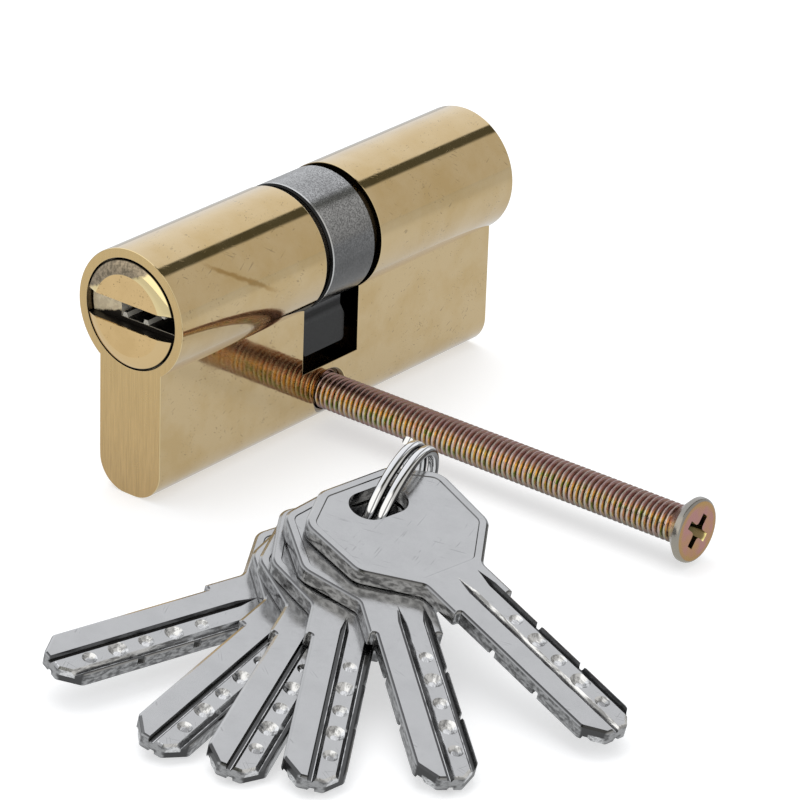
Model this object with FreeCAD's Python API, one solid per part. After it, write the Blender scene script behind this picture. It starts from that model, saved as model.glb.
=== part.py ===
import FreeCAD, Part
import os
import math
from FreeCAD import Vector

# Euro-profile double cylinder with its fixing screw and a bunch of six keys, in millimetres.
# The origin is on the barrel's axis, half-way along the cam slot.
# +Y runs from the front face to the rear face, +Z is up, and the screw comes out along +X.

# Profile of the body
BARREL_D = 17.0
FLANGE_W = 10.0
PROFILE_H = 33.0
FLANGE_EDGE_R = 4.2
FRONT_LENGTH = 32.5
REAR_LENGTH = 32.5
END_EDGE_CHAMFER = 0.2

# Slot for the cam, and the cross hole for the fixing screw
CAM_SLOT_W = 10.7
CAM_SLOT_DEPTH = 15.8
SCREW_AXIS_DROP = 19.85
SCREW_HOLE_D = 5.0
SCREW_HOLE_MOUTH_D = 6.3

# Plugs
PLUG_D = 12.9
PLUG_RUNNING_GAP = 0.05
PLUG_HEAD_D = 14.2
PLUG_HEAD_GAP = 0.12
PLUG_HEAD_DEPTH = 2.0
PLUG_FACE_RISE = 0.7
PLUG_FACE_D = 10.6
PLUG_TAIL_D = 12.3
PLUG_TAIL_END = 2.7
GUIDE_SLOT_H = 3.3
GUIDE_SLOT_DEPTH = 1.7

# Keys, whose blade sets the keyway
KEY_THICKNESS = 2.0
KEY_BLADE_W = 7.2
KEY_BLADE_LENGTH = 23.5
KEY_SHOULDER_W = 8.8
KEY_SHOULDER_LENGTH = 4.2
KEY_BOW_W = 21.0
KEY_BOW_LENGTH = 20.0
KEY_BOW_END_W = 10.5
KEY_BOW_SLANT = 3.7
KEY_BOW_SIDE_END = 6.8
KEY_BOW_SIDE_END_W = 20.2
KEY_NECK_START = 1.2
KEY_CORNER_R = 2.5
KEY_TIP_CHAMFER = 2.4
KEY_TIP_W = 2.9
KEY_EYE_W = 7.8
KEY_EYE_LENGTH = 5.0
KEY_EYE_EDGE = 2.2
KEY_GROOVE_W = 1.1
KEY_GROOVE_SPREAD = 1.45
KEY_GROOVE_DEPTH = 0.6
KEY_NOTCH_R = 0.55
KEY_NOTCH_DEPTH = 0.4
KEYWAY_GAP = 0.1
WARD_W = 0.4
WARD_H = 0.5
WARD_SPREAD = 1.7

# Pins: distance of the row from the blade's edge, pitch, and the depth of cut at each place
PIN_ROW_INSET = 2.2
FIRST_PIN = 5.0
PIN_PITCH = 3.8
KEY_CUTS = (0.4, 0.7, 0.5, 0.75, 0.45)
PIN_D = 2.8
PIN_GAP = 0.06
PIN_TIP_D = 0.9
PIN_FOOT_GAP = 0.2
DRIVER_LENGTH = 4.6
DRIVER_GAP = 0.03
DRIVER_COLLAR = 1.15
DRIVER_WAIST_W = 1.15
DRIVER_WAIST_DEPTH = 0.35
SPRING_D = 2.5
SPRING_WIRE = 0.4
SPRING_LENGTH = 9.0
SPRING_SEAT_GAP = 0.05
CAP_D = 3.4
CAP_GAP = 0.02

# Cam and clutch
CAM_D = 16.8
CAM_W = 8.6
CAM_BORE_GAP = 0.05
CAM_WEB_D = 10.0
CAM_WEB_W = 1.8
CAM_EDGE_CHAMFER = 0.25
LEVER_REACH = 14.2
LEVER_THICKNESS = 7.6
LEVER_W = 8.0
LEVER_NECK_W = 6.2
LEVER_NECK_REACH = 9.9
LEVER_CORNER_R = 0.6
COUPLER_W = 2.8
COUPLER_GAP = 0.1
COUPLER_THICKNESS = 2.6
COUPLER_ENGAGED = 0.5
COUPLER_TRAVEL = 0.9
COUPLER_STEM_D = 2.2
STEM_GAP = 0.1
CLUTCH_SPRING_D = 6.0
CLUTCH_SPRING_WIRE = 0.8
CIRCLIP_T = 0.7
CIRCLIP_D = 14.2
CIRCLIP_WALL_GAP = 0.03
CIRCLIP_GROOVE_DEPTH = 0.55
CIRCLIP_OPENING = 70.0

# Fixing screw
SCREW_D = 4.9
SCREW_LENGTH = 65.0
SCREW_TIP_CHAMFER = 0.6
SCREW_HEAD_D = 8.3
SCREW_HEAD_RIM = 0.9
SCREW_HEAD_EDGE_R = 0.5
SCREW_OUT = 63.1
RECESS_ARM_W = 1.4
RECESS_SPAN = 4.8
RECESS_DEPTH = 2.0

# Key ring and the pose of the bunch on the table
RING_D = 18.0
RING_WIRE = 1.1
RING_PITCH = 1.55
RING_QUARTERS = 9
RING_BEARING = 107.0
BUNCH_X = 41.5
BUNCH_Y = -37.5
BUNCH_TILT_BEARING = 347.0
KEY_BEARINGS = (255.0, 278.0, 291.0, 303.0, 323.0, 350.0)
KEY_STACK_GAP = 0.05

BARREL_R = BARREL_D / 2
FLANGE_BOTTOM = BARREL_R - PROFILE_H
SLOT_HALF = CAM_SLOT_W / 2
PLUG_R = PLUG_D / 2
PLUG_BORE_R = PLUG_R + PLUG_RUNNING_GAP
KEYWAY_H = KEY_THICKNESS + 2 * KEYWAY_GAP
BLADE_CENTRE = KEY_BLADE_W / 2 - PIN_ROW_INSET
PIN_HOLE_R = PIN_D / 2 + PIN_GAP
CHAMBER_DEPTH = PLUG_BORE_R + DRIVER_GAP + DRIVER_LENGTH + SPRING_SEAT_GAP + SPRING_LENGTH
TAIL_SLOT_DEPTH = COUPLER_TRAVEL + COUPLER_THICKNESS + COUPLER_ENGAGED - PLUG_TAIL_END + COUPLER_GAP
LONG = 200.0
PAST = 1.0

os.makedirs("parts", exist_ok=True)


def rod(radius, start, end, axis="y", x=0.0, y=0.0, z=0.0):
    """A round bar along one axis, from start to end on that axis."""
    base, along = {
        "x": (Vector(start, y, z), Vector(1, 0, 0)),
        "y": (Vector(x, start, z), Vector(0, 1, 0)),
        "z": (Vector(x, y, start), Vector(0, 0, 1)),
    }[axis]
    return Part.makeCylinder(radius, end - start, base, along)


def block(low, high):
    """A box between two corners."""
    size = [b - a for a, b in zip(low, high)]
    return Part.makeBox(size[0], size[1], size[2], Vector(*low))


def cone(r_start, r_end, start, end, axis, x=0.0, y=0.0, z=0.0):
    """A cone frustum along one axis."""
    base, along = {
        "x": (Vector(start, y, z), Vector(1, 0, 0)),
        "y": (Vector(x, start, z), Vector(0, 1, 0)),
        "z": (Vector(x, y, start), Vector(0, 0, 1)),
    }[axis]
    return Part.makeCone(r_start, r_end, end - start, base, along)


def fused(shapes):
    """One solid from several that overlap, with the seams taken out."""
    return shapes[0].multiFuse(shapes[1:]).removeSplitter()


def rear_of(shape):
    """The same piece turned round to face the rear."""
    turned = shape.copy()
    turned.rotate(Vector(0, 0, 0), Vector(0, 0, 1), 180)
    return turned


def save(node, shape):
    """Write one node."""
    shape.exportStep(os.path.join("parts", node + ".step"))
    print(node, len(shape.Solids), round(shape.Volume, 2))


def profile_face(y):
    """The Euro profile at one Y: a round barrel over a flange with rounded lower edges."""
    half = FLANGE_W / 2
    join = -math.sqrt(BARREL_R ** 2 - half ** 2)
    edge = FLANGE_EDGE_R
    low = FLANGE_BOTTOM
    slant = edge * (1 - math.sqrt(0.5))

    def at(x, z):
        return Vector(x, y, z)

    edges = [
        Part.Arc(at(half, join), at(0, BARREL_R), at(-half, join)).toShape(),
        Part.makeLine(at(-half, join), at(-half, low + edge)),
        Part.Arc(at(-half, low + edge), at(slant - half, low + slant), at(edge - half, low)).toShape(),
        Part.makeLine(at(edge - half, low), at(half - edge, low)),
        Part.Arc(at(half - edge, low), at(half - slant, low + slant), at(half, low + edge)).toShape(),
        Part.makeLine(at(half, low + edge), at(half, join)),
    ]
    return Part.Face(Part.Wire(edges))


def profile_bar(start, end):
    """The profile drawn out along Y."""
    return profile_face(start).extrude(Vector(0, end - start, 0))


def pin_places(length):
    """Y places of the pins on one side, measured in from its end face, on the front side."""
    return [FIRST_PIN + PIN_PITCH * i - length for i in range(len(KEY_CUTS))]


def make_body():
    """Housing: profile, cam slot, plug bores, pin chambers and the cross hole."""
    body = profile_bar(-FRONT_LENGTH, REAR_LENGTH)
    ends = [e for e in body.Edges
            if abs(e.BoundBox.YMin - e.BoundBox.YMax) < 1e-6]
    body = body.makeChamfer(END_EDGE_CHAMFER, ends)
    cuts = [block((-LONG, -SLOT_HALF, -CAM_SLOT_DEPTH), (LONG, SLOT_HALF, LONG))]
    cuts.append(rod(PLUG_BORE_R, -LONG, LONG))
    head_r = PLUG_HEAD_D / 2 + PLUG_HEAD_GAP
    head_floor = PLUG_HEAD_DEPTH + PLUG_RUNNING_GAP
    cuts.append(rod(head_r, -LONG, head_floor - FRONT_LENGTH))
    cuts.append(rod(head_r, REAR_LENGTH - head_floor, LONG))
    places = pin_places(FRONT_LENGTH) + [-y for y in pin_places(REAR_LENGTH)]
    for y in places:
        cuts.append(rod(PIN_HOLE_R, -CHAMBER_DEPTH - SPRING_SEAT_GAP, 0, "z", y=y))
        cuts.append(rod(CAP_D / 2 + CAP_GAP, -LONG, -CHAMBER_DEPTH - SPRING_SEAT_GAP, "z", y=y))
    cuts.append(rod(SCREW_HOLE_D / 2, -LONG, LONG, "x", z=-SCREW_AXIS_DROP))
    mouth = (SCREW_HOLE_MOUTH_D - SCREW_HOLE_D) / 2
    half = FLANGE_W / 2
    for side in (-1, 1):
        inner = cone(SCREW_HOLE_D / 2, SCREW_HOLE_MOUTH_D / 2, half - mouth, half, "x")
        if side < 0:
            inner.rotate(Vector(0, 0, 0), Vector(0, 0, 1), 180)
        inner.translate(Vector(0, 0, -SCREW_AXIS_DROP))
        cuts.append(inner)
    return body.cut(Part.makeCompound(cuts)).removeSplitter()


def keyway_section(y):
    """The keyway's outline at one Y: a slot open at the plug's side, with wards beside each pin row."""
    left = BLADE_CENTRE - KEY_BLADE_W / 2 - KEYWAY_GAP
    right = PLUG_HEAD_D / 2 + PAST
    half = KEYWAY_H / 2
    row_top = 2 * BLADE_CENTRE
    points = [(left, -half)]
    for centre in (-WARD_SPREAD, WARD_SPREAD):
        points += [(centre - WARD_W / 2, -half), (centre - WARD_W / 2, WARD_H - half)]
        points += [(centre + WARD_W / 2, WARD_H - half), (centre + WARD_W / 2, -half)]
    points += [(right, -half), (right, half)]
    for centre in (row_top + WARD_SPREAD, row_top - WARD_SPREAD):
        points += [(centre + WARD_W / 2, half), (centre + WARD_W / 2, half - WARD_H)]
        points += [(centre - WARD_W / 2, half - WARD_H), (centre - WARD_W / 2, half)]
    points += [(left, half), (left, -half)]
    return Part.Face(Part.makePolygon([Vector(x, y, z) for x, z in points]))


def make_plug(length):
    """A plug on the front side: head with a bevelled face, barrel, tail with clip groove and slot."""
    head_r = PLUG_HEAD_D / 2
    tail_r = PLUG_TAIL_D / 2
    face = -length - PLUG_FACE_RISE
    groove_r = tail_r - CIRCLIP_GROOVE_DEPTH
    groove_end = CIRCLIP_T + 2 * CIRCLIP_WALL_GAP - SLOT_HALF
    outline = [
        (0, face), (PLUG_FACE_D / 2, face), (head_r, -length),
        (head_r, PLUG_HEAD_DEPTH - length), (PLUG_R, PLUG_HEAD_DEPTH - length),
        (PLUG_R, -SLOT_HALF), (groove_r, -SLOT_HALF), (groove_r, groove_end),
        (tail_r, groove_end), (tail_r, -PLUG_TAIL_END), (0, -PLUG_TAIL_END), (0, face),
    ]
    section = Part.Face(Part.makePolygon([Vector(r, y, 0) for r, y in outline]))
    plug = section.revolve(Vector(0, 0, 0), Vector(0, 1, 0), 360)
    keyway_end = key_tip_place(length) + 2 * KEYWAY_GAP
    cuts = [keyway_section(face - PAST).extrude(Vector(0, keyway_end - face + PAST, 0))]
    half = GUIDE_SLOT_H / 2
    floor = face + GUIDE_SLOT_DEPTH
    cuts.append(block((-head_r - PAST, face - PAST, -half), (head_r + PAST, floor, half)))
    for y in pin_places(length):
        cuts.append(rod(PIN_HOLE_R, -PLUG_R - PAST, 0, "z", y=y))
    bar = COUPLER_W / 2 + COUPLER_GAP
    cuts.append(block((-tail_r - PAST, -PLUG_TAIL_END - TAIL_SLOT_DEPTH, -bar), (tail_r + PAST, 0, bar)))
    cuts.append(rod(COUPLER_STEM_D / 2 + STEM_GAP, keyway_end - PAST, 0))
    return plug.cut(Part.makeCompound(cuts)).removeSplitter()


def key_tip_place(length):
    """Y of a seated key's tip, on the front side: its shoulder rests on the guide slot's floor."""
    return GUIDE_SLOT_DEPTH - length - PLUG_FACE_RISE + KEY_BLADE_LENGTH


def make_key_pin(y, cut):
    """A key pin standing at the shear line, its point at the depth of its cut."""
    foot = PIN_FOOT_GAP - PLUG_R
    point = cut - KEY_THICKNESS / 2
    taper = (PIN_D - PIN_TIP_D) / 2
    shank = rod(PIN_D / 2, foot, point - taper, "z", y=y)
    tip = cone(PIN_D / 2, PIN_TIP_D / 2, point - taper, point, "z", y=y)
    return fused([shank, tip])


def make_driver(y):
    """A driver pin just under the shear line, waisted as drivers are against picking."""
    top = -PLUG_BORE_R - DRIVER_GAP
    foot = top - DRIVER_LENGTH
    outer = PIN_D / 2
    inner = outer - DRIVER_WAIST_DEPTH
    waist_top = top - DRIVER_COLLAR
    waist_foot = waist_top - DRIVER_WAIST_W
    outline = [(0, top), (outer, top), (outer, waist_top), (inner, waist_top),
               (inner, waist_foot), (outer, waist_foot), (outer, foot), (0, foot), (0, top)]
    section = Part.Face(Part.makePolygon([Vector(r, y, z) for r, z in outline]))
    return section.revolve(Vector(0, y, 0), Vector(0, 0, 1), 360)


def make_spring(y):
    """The space a pin spring fills, as a plain sleeve between driver and cap."""
    low = -CHAMBER_DEPTH
    outer = rod(SPRING_D / 2, low, low + SPRING_LENGTH, "z", y=y)
    return outer.cut(rod(SPRING_D / 2 - SPRING_WIRE, low, low + SPRING_LENGTH, "z", y=y))


def make_caps(length):
    """Five caps in one group, ground off with the flange's rounded bottom."""
    profile = profile_bar(-length, 0)
    caps = [rod(CAP_D / 2, -PROFILE_H, -CHAMBER_DEPTH - 2 * SPRING_SEAT_GAP, "z", y=y).common(profile)
            for y in pin_places(length)]
    return Part.makeCompound([cap.Solids[0] for cap in caps])


def make_cam():
    """Ring with a broached web inside, and the lever that throws the bolt."""
    half = CAM_W / 2
    ring_r = CAM_D / 2
    bore_r = PLUG_TAIL_D / 2 + CAM_BORE_GAP
    edge = CAM_EDGE_CHAMFER
    outline = [(0, -half), (ring_r - edge, -half), (ring_r, edge - half), (ring_r, half - edge),
               (ring_r - edge, half), (0, half), (0, -half)]
    section = Part.Face(Part.makePolygon([Vector(r, y, 0) for r, y in outline]))
    ring = section.revolve(Vector(0, 0, 0), Vector(0, 1, 0), 360)
    lever = [(-LEVER_NECK_W / 2, 0), (LEVER_NECK_W / 2, 0), (LEVER_NECK_W / 2, -LEVER_NECK_REACH),
             (LEVER_W / 2, -LEVER_NECK_REACH - LEVER_CORNER_R), (LEVER_W / 2, -LEVER_REACH),
             (-LEVER_W / 2, -LEVER_REACH), (-LEVER_W / 2, -LEVER_NECK_REACH - LEVER_CORNER_R),
             (-LEVER_NECK_W / 2, -LEVER_NECK_REACH), (-LEVER_NECK_W / 2, 0)]
    thick = LEVER_THICKNESS / 2
    face = Part.Face(Part.makePolygon([Vector(-thick, y, z) for y, z in lever]))
    cam = fused([ring, face.extrude(Vector(2 * thick, 0, 0))])
    corners = [e for e in cam.Edges
               if abs(e.BoundBox.ZMax + LEVER_REACH) < 1e-6 and e.BoundBox.YLength > 1]
    cam = cam.makeFillet(LEVER_CORNER_R, corners)
    web = CAM_WEB_W / 2
    bar = COUPLER_W / 2 + COUPLER_GAP
    cuts = [rod(bore_r, -LONG, -web), rod(bore_r, web, LONG), rod(CAM_WEB_D / 2, -LONG, LONG)]
    cross_slot = block((-LONG, -web - PAST, -bar), (LONG, web + PAST, bar))
    cuts.append(cross_slot.common(rod(bore_r, -web - PAST, web + PAST)))
    return cam.cut(Part.makeCompound(cuts)).removeSplitter()


def make_coupler(inner, length):
    """Clutch bar on the front side, with its inner end at the given distance from the middle."""
    reach = PLUG_TAIL_D / 2 - COUPLER_GAP
    outer = inner + COUPLER_THICKNESS
    bar = block((-reach, -outer, -COUPLER_W / 2), (reach, -inner, COUPLER_W / 2))
    bar = bar.common(rod(reach, -outer, -inner))
    stem_end = key_tip_place(length) - inner + COUPLER_ENGAGED
    return fused([bar, rod(COUPLER_STEM_D / 2, stem_end, -inner)])


def make_clutch_spring():
    """The short stiff spring between the couplers, as a plain sleeve."""
    start = SPRING_SEAT_GAP - COUPLER_ENGAGED
    end = COUPLER_ENGAGED + COUPLER_TRAVEL - SPRING_SEAT_GAP
    sleeve = rod(CLUTCH_SPRING_D / 2, start, end)
    return sleeve.cut(rod(CLUTCH_SPRING_D / 2 - CLUTCH_SPRING_WIRE, start, end))


def make_circlip():
    """Open clip in the tail's groove, against the slot's wall."""
    start = CIRCLIP_WALL_GAP - SLOT_HALF
    inner_r = PLUG_TAIL_D / 2 - CIRCLIP_GROOVE_DEPTH + CIRCLIP_WALL_GAP
    clip = rod(CIRCLIP_D / 2, start, start + CIRCLIP_T).cut(rod(inner_r, start, start + CIRCLIP_T))
    half_angle = math.radians(CIRCLIP_OPENING / 2)
    wide = CIRCLIP_D * math.tan(half_angle)
    mouth = Part.makePolygon([Vector(0, start, 0), Vector(wide, start, CIRCLIP_D),
                              Vector(-wide, start, CIRCLIP_D), Vector(0, start, 0)])
    return clip.cut(Part.Face(mouth).extrude(Vector(0, CIRCLIP_T, 0)))


def make_screw():
    """Countersunk screw with a cross recess; the shank is the thread's outer size."""
    tip = SCREW_OUT - SCREW_LENGTH
    head_r = SCREW_HEAD_D / 2
    shank_r = SCREW_D / 2
    under = SCREW_OUT - SCREW_HEAD_RIM - (head_r - shank_r)
    outline = [(tip, 0), (tip, shank_r - SCREW_TIP_CHAMFER), (tip + SCREW_TIP_CHAMFER, shank_r),
               (under, shank_r), (SCREW_OUT - SCREW_HEAD_RIM, head_r), (SCREW_OUT, head_r),
               (SCREW_OUT, 0), (tip, 0)]
    section = Part.Face(Part.makePolygon([Vector(x, r, 0) for x, r in outline]))
    screw = section.revolve(Vector(0, 0, 0), Vector(1, 0, 0), 360)
    rim = [e for e in screw.Edges if abs(e.BoundBox.XMin - SCREW_OUT) < 1e-6]
    screw = screw.makeFillet(min(SCREW_HEAD_EDGE_R, 0.9 * SCREW_HEAD_RIM), rim)
    arm = RECESS_ARM_W / 2
    span = RECESS_SPAN / 2
    floor = SCREW_OUT - RECESS_DEPTH
    over = SCREW_OUT + PAST
    blade = [(over, -span), (SCREW_OUT, -span), (floor, -arm), (floor, arm),
             (SCREW_OUT, span), (over, span), (over, -span)]
    level = Part.Face(Part.makePolygon([Vector(x, y, -arm) for x, y in blade]))
    upright = Part.Face(Part.makePolygon([Vector(x, -arm, y) for x, y in blade]))
    cross = level.extrude(Vector(0, 0, 2 * arm)).fuse(upright.extrude(Vector(0, 2 * arm, 0)))
    screw = screw.cut(cross)
    screw.translate(Vector(0, 0, -SCREW_AXIS_DROP))
    return screw


def key_outline():
    """Flat outline of a key from its eye end to its tip; u runs along the blade, v across it."""
    eye = KEY_BOW_LENGTH
    bow = KEY_BOW_W / 2
    end = KEY_BOW_END_W / 2
    neck = KEY_SHOULDER_W / 2
    blade = KEY_BLADE_W / 2
    tip = KEY_SHOULDER_LENGTH + KEY_BLADE_LENGTH
    side = [(-eye, end), (KEY_BOW_SLANT - eye, bow), (-KEY_BOW_SIDE_END, KEY_BOW_SIDE_END_W / 2),
            (-KEY_NECK_START, neck), (KEY_SHOULDER_LENGTH, neck), (KEY_SHOULDER_LENGTH, blade),
            (tip - KEY_TIP_CHAMFER, blade), (tip, KEY_TIP_W / 2)]
    points = side + [(u, -v) for u, v in reversed(side)]
    points.append(points[0])
    return Part.Face(Part.makePolygon([Vector(u, v, 0) for u, v in points]))


def make_key():
    """One reversible dimple key, eye centre at the origin, lying flat, blade along +X."""
    half = KEY_THICKNESS / 2
    eye_centre = KEY_EYE_EDGE + KEY_EYE_LENGTH / 2 - KEY_BOW_LENGTH
    key = key_outline().extrude(Vector(0, 0, KEY_THICKNESS))
    key.translate(Vector(0, 0, -half))
    rounded = [e for e in key.Edges
               if e.BoundBox.ZLength > half and e.BoundBox.XMax < -KEY_NECK_START - KEY_CORNER_R]
    key = key.makeFillet(KEY_CORNER_R, rounded)
    slot = (KEY_EYE_W - KEY_EYE_LENGTH) / 2
    eye_r = KEY_EYE_LENGTH / 2
    over = half + PAST
    cuts = [rod(eye_r, -over, over, "z", x=eye_centre, y=-slot),
            rod(eye_r, -over, over, "z", x=eye_centre, y=slot),
            block((eye_centre - eye_r, -slot, -over), (eye_centre + eye_r, slot, over))]
    tip = KEY_SHOULDER_LENGTH + KEY_BLADE_LENGTH
    groove = KEY_GROOVE_W / 2
    floor = half - KEY_GROOVE_DEPTH
    face_cuts = []
    for centre in (BLADE_CENTRE - KEY_GROOVE_SPREAD, BLADE_CENTRE + KEY_GROOVE_SPREAD):
        face_cuts.append(block((0, centre - groove, floor), (tip + PAST, centre + groove, over)))
    first = KEY_SHOULDER_LENGTH + FIRST_PIN + PLUG_FACE_RISE - GUIDE_SLOT_DEPTH
    for i, cut in enumerate(KEY_CUTS):
        u = first + PIN_PITCH * i
        face_cuts.append(cone(PIN_TIP_D / 2, PIN_TIP_D / 2 + cut + PAST, half - cut, over, "z",
                              x=u, y=BLADE_CENTRE))
        if i % 2:
            face_cuts.append(rod(KEY_NOTCH_R, 0, over, "z", x=u - PIN_PITCH / 2,
                                 y=KEY_BLADE_W / 2 + KEY_NOTCH_R - KEY_NOTCH_DEPTH))
    for shape in face_cuts:
        under = shape.copy()
        under.rotate(Vector(0, 0, 0), Vector(1, 0, 0), 180)
        cuts += [shape, under]
    key = key.cut(Part.makeCompound(cuts)).removeSplitter()
    key.translate(Vector(-eye_centre, 0, 0))
    return key


def key_reach():
    """From the eye's centre to the tip."""
    return KEY_BOW_LENGTH - KEY_EYE_EDGE - KEY_EYE_LENGTH / 2 + KEY_SHOULDER_LENGTH + KEY_BLADE_LENGTH


def ring_point(quarter):
    """A point on the ring's centre line, counted in quarter turns."""
    radius = (RING_D - RING_WIRE) / 2
    angle = math.radians(90 * quarter)
    drop = (RING_QUARTERS / 8 - quarter / 4) * RING_PITCH
    return Vector(radius * math.cos(angle), radius * math.sin(angle), drop)


def ring_gap():
    """Least gap between the turns, measured on points half a turn or more apart along the wire."""
    per_quarter = 8
    count = RING_QUARTERS * per_quarter + 1
    points = [ring_point(i / per_quarter) for i in range(count)]
    apart = 2 * per_quarter
    return min(points[i].distanceToPoint(points[j])
               for i in range(count) for j in range(i + apart, count)) - RING_WIRE


def make_ring():
    """Split ring of wire wound a little over two turns, about its own Z axis."""
    arcs = [Part.Arc(ring_point(q), ring_point(q + 0.5), ring_point(q + 1)).toShape()
            for q in range(RING_QUARTERS)]
    section = Part.Wire(Part.makeCircle(RING_WIRE / 2, ring_point(0), arcs[0].tangentAt(0)))
    return Part.Wire(arcs).makePipeShell([section], True, False)


def bearing(angle):
    """A level direction."""
    a = math.radians(angle)
    return Vector(math.cos(a), math.sin(a), 0)


def bunch_tilt(step):
    """Slope of the stack at which the ring's foot and the first key tip touch the table together."""
    count = len(KEY_BEARINGS)
    slopes = []
    for i, angle in enumerate(KEY_BEARINGS):
        run = key_reach() * math.cos(math.radians(angle - BUNCH_TILT_BEARING))
        rise = RING_D / 2 + step * (i - (count - 1) / 2) - KEY_THICKNESS / 2
        if run > RING_D:
            slopes.append(math.degrees(math.atan(rise / run)))
    return min(slopes)


def place_bunch():
    """Thread the keys on the ring in a stack, tilt the stack, and set it down beside the body."""
    step = KEY_THICKNESS + KEY_STACK_GAP
    radius = (RING_D - RING_WIRE) / 2
    out = bearing(RING_BEARING)
    key = make_key()
    pieces = {}
    for i, angle in enumerate(KEY_BEARINGS):
        height = step * (i - (len(KEY_BEARINGS) - 1) / 2)
        inward = radius - math.sqrt(radius ** 2 - height ** 2)
        piece = key.copy()
        piece.rotate(Vector(0, 0, 0), Vector(0, 0, 1), angle)
        piece.translate(Vector(out).multiply(inward).add(Vector(0, 0, height)))
        pieces["key_%d" % (i + 1)] = piece
    ring = make_ring()
    ring.rotate(Vector(0, 0, 0), Vector(0, 0, 1), -45 * RING_QUARTERS)
    ring.rotate(Vector(0, 0, 0), Vector(1, 0, 0), 90)
    ring.translate(Vector(radius, 0, 0))
    ring.rotate(Vector(0, 0, 0), Vector(0, 0, 1), RING_BEARING)
    pieces["key_ring"] = ring
    tilt = bunch_tilt(step)
    axis = Vector(0, 0, 1).cross(bearing(BUNCH_TILT_BEARING))
    for piece in pieces.values():
        piece.rotate(Vector(0, 0, 0), axis, tilt)
    lowest = min(piece.BoundBox.ZMin for piece in pieces.values())
    for piece in pieces.values():
        piece.translate(Vector(BUNCH_X, BUNCH_Y, FLANGE_BOTTOM - lowest))
    print("least gap between the ring's turns", round(ring_gap(), 3))
    return pieces


save("body", make_body())
save("front_plug", make_plug(FRONT_LENGTH))
save("rear_plug", rear_of(make_plug(REAR_LENGTH)))
for index, depth in enumerate(KEY_CUTS):
    number = str(index + 1)
    front_y = pin_places(FRONT_LENGTH)[index]
    rear_y = -pin_places(REAR_LENGTH)[index]
    save("front_key_pin_" + number, make_key_pin(front_y, depth))
    save("rear_key_pin_" + number, make_key_pin(rear_y, depth))
    save("front_driver_pin_" + number, make_driver(front_y))
    save("rear_driver_pin_" + number, make_driver(rear_y))
    save("front_spring_" + number, make_spring(front_y))
    save("rear_spring_" + number, make_spring(rear_y))
save("front_chamber_caps", make_caps(FRONT_LENGTH))
save("rear_chamber_caps", rear_of(make_caps(REAR_LENGTH)))
save("cam", make_cam())
save("front_coupler", make_coupler(COUPLER_ENGAGED, FRONT_LENGTH))
save("rear_coupler", rear_of(make_coupler(COUPLER_ENGAGED + COUPLER_TRAVEL, REAR_LENGTH)))
save("clutch_spring", make_clutch_spring())
save("front_circlip", make_circlip())
save("rear_circlip", rear_of(make_circlip()))
save("fixing_screw", make_screw())
for node, piece in place_bunch().items():
    save(node, piece)
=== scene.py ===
import math

import bmesh
import bpy
from mathutils import Matrix, Vector


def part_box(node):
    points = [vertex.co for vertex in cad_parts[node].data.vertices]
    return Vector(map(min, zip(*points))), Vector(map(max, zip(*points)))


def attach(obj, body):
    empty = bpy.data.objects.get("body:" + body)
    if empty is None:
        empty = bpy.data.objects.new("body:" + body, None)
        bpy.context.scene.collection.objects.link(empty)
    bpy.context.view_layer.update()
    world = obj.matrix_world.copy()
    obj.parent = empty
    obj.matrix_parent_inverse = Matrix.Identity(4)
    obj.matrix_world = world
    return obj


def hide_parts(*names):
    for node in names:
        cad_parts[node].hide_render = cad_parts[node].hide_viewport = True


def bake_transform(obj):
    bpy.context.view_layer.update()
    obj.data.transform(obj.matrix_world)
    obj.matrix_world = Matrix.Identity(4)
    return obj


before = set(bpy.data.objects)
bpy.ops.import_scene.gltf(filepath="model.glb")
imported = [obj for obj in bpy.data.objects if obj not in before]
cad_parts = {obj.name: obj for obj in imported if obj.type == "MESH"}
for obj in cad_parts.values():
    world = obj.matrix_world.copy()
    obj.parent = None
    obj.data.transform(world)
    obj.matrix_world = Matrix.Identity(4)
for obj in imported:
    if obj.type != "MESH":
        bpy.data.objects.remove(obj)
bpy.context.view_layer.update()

# A polished brass Euro-profile double cylinder, its fixing screw and a bunch of keys on a ring.
# Sizes are in millimetres and become metres when a mesh is made. Angles are in degrees.
MM = 0.001


# Sizes read from the frame

def box_mm(node):
    """Lowest and highest corner of a CAD node, in millimetres."""
    low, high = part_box(node)
    return low / MM, high / MM


BODY_LOW, BODY_HIGH = box_mm("body")
PLUG_LOW, PLUG_HIGH = box_mm("front_plug")
CAM_LOW, CAM_HIGH = box_mm("cam")
SCREW_LOW, SCREW_HIGH = box_mm("fixing_screw")

BARREL_R = BODY_HIGH.z
FLANGE_FOOT = BODY_LOW.z
FRONT = BODY_LOW.y
REAR = BODY_HIGH.y

# Cutters: how far they stand out, and how far they reach right through a piece
OVER = 1.0
THROUGH = 20.0

# Facets round the turned pieces and their holes
PLUG_FACETS = 160
HOLE_FACETS = 64
CHAMBER_FACETS = 48
PIN_HOLE_FACETS = 40
CAM_FACETS = 192
CAM_BORE_FACETS = 128
SCREW_FACETS = 48
DIMPLE_FACETS = 32
NOTCH_FACETS = 24

# Body
FLANGE_HALF = 5.0
FLANGE_EDGE_R = 4.2
SLOT_HALF = 5.35
SLOT_FLOOR = -15.8
BORE_R = 6.5
HEAD_BORE_R = 7.22
HEAD_BORE_DEPTH = 2.05
CROSS_HOLE_R = 2.5
CROSS_MOUTH_R = 3.15
CHAMBER_R = 1.46
CAP_TOP = -20.28
CAP_HOLE_R = 1.72
BODY_BEVEL = 0.16

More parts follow.
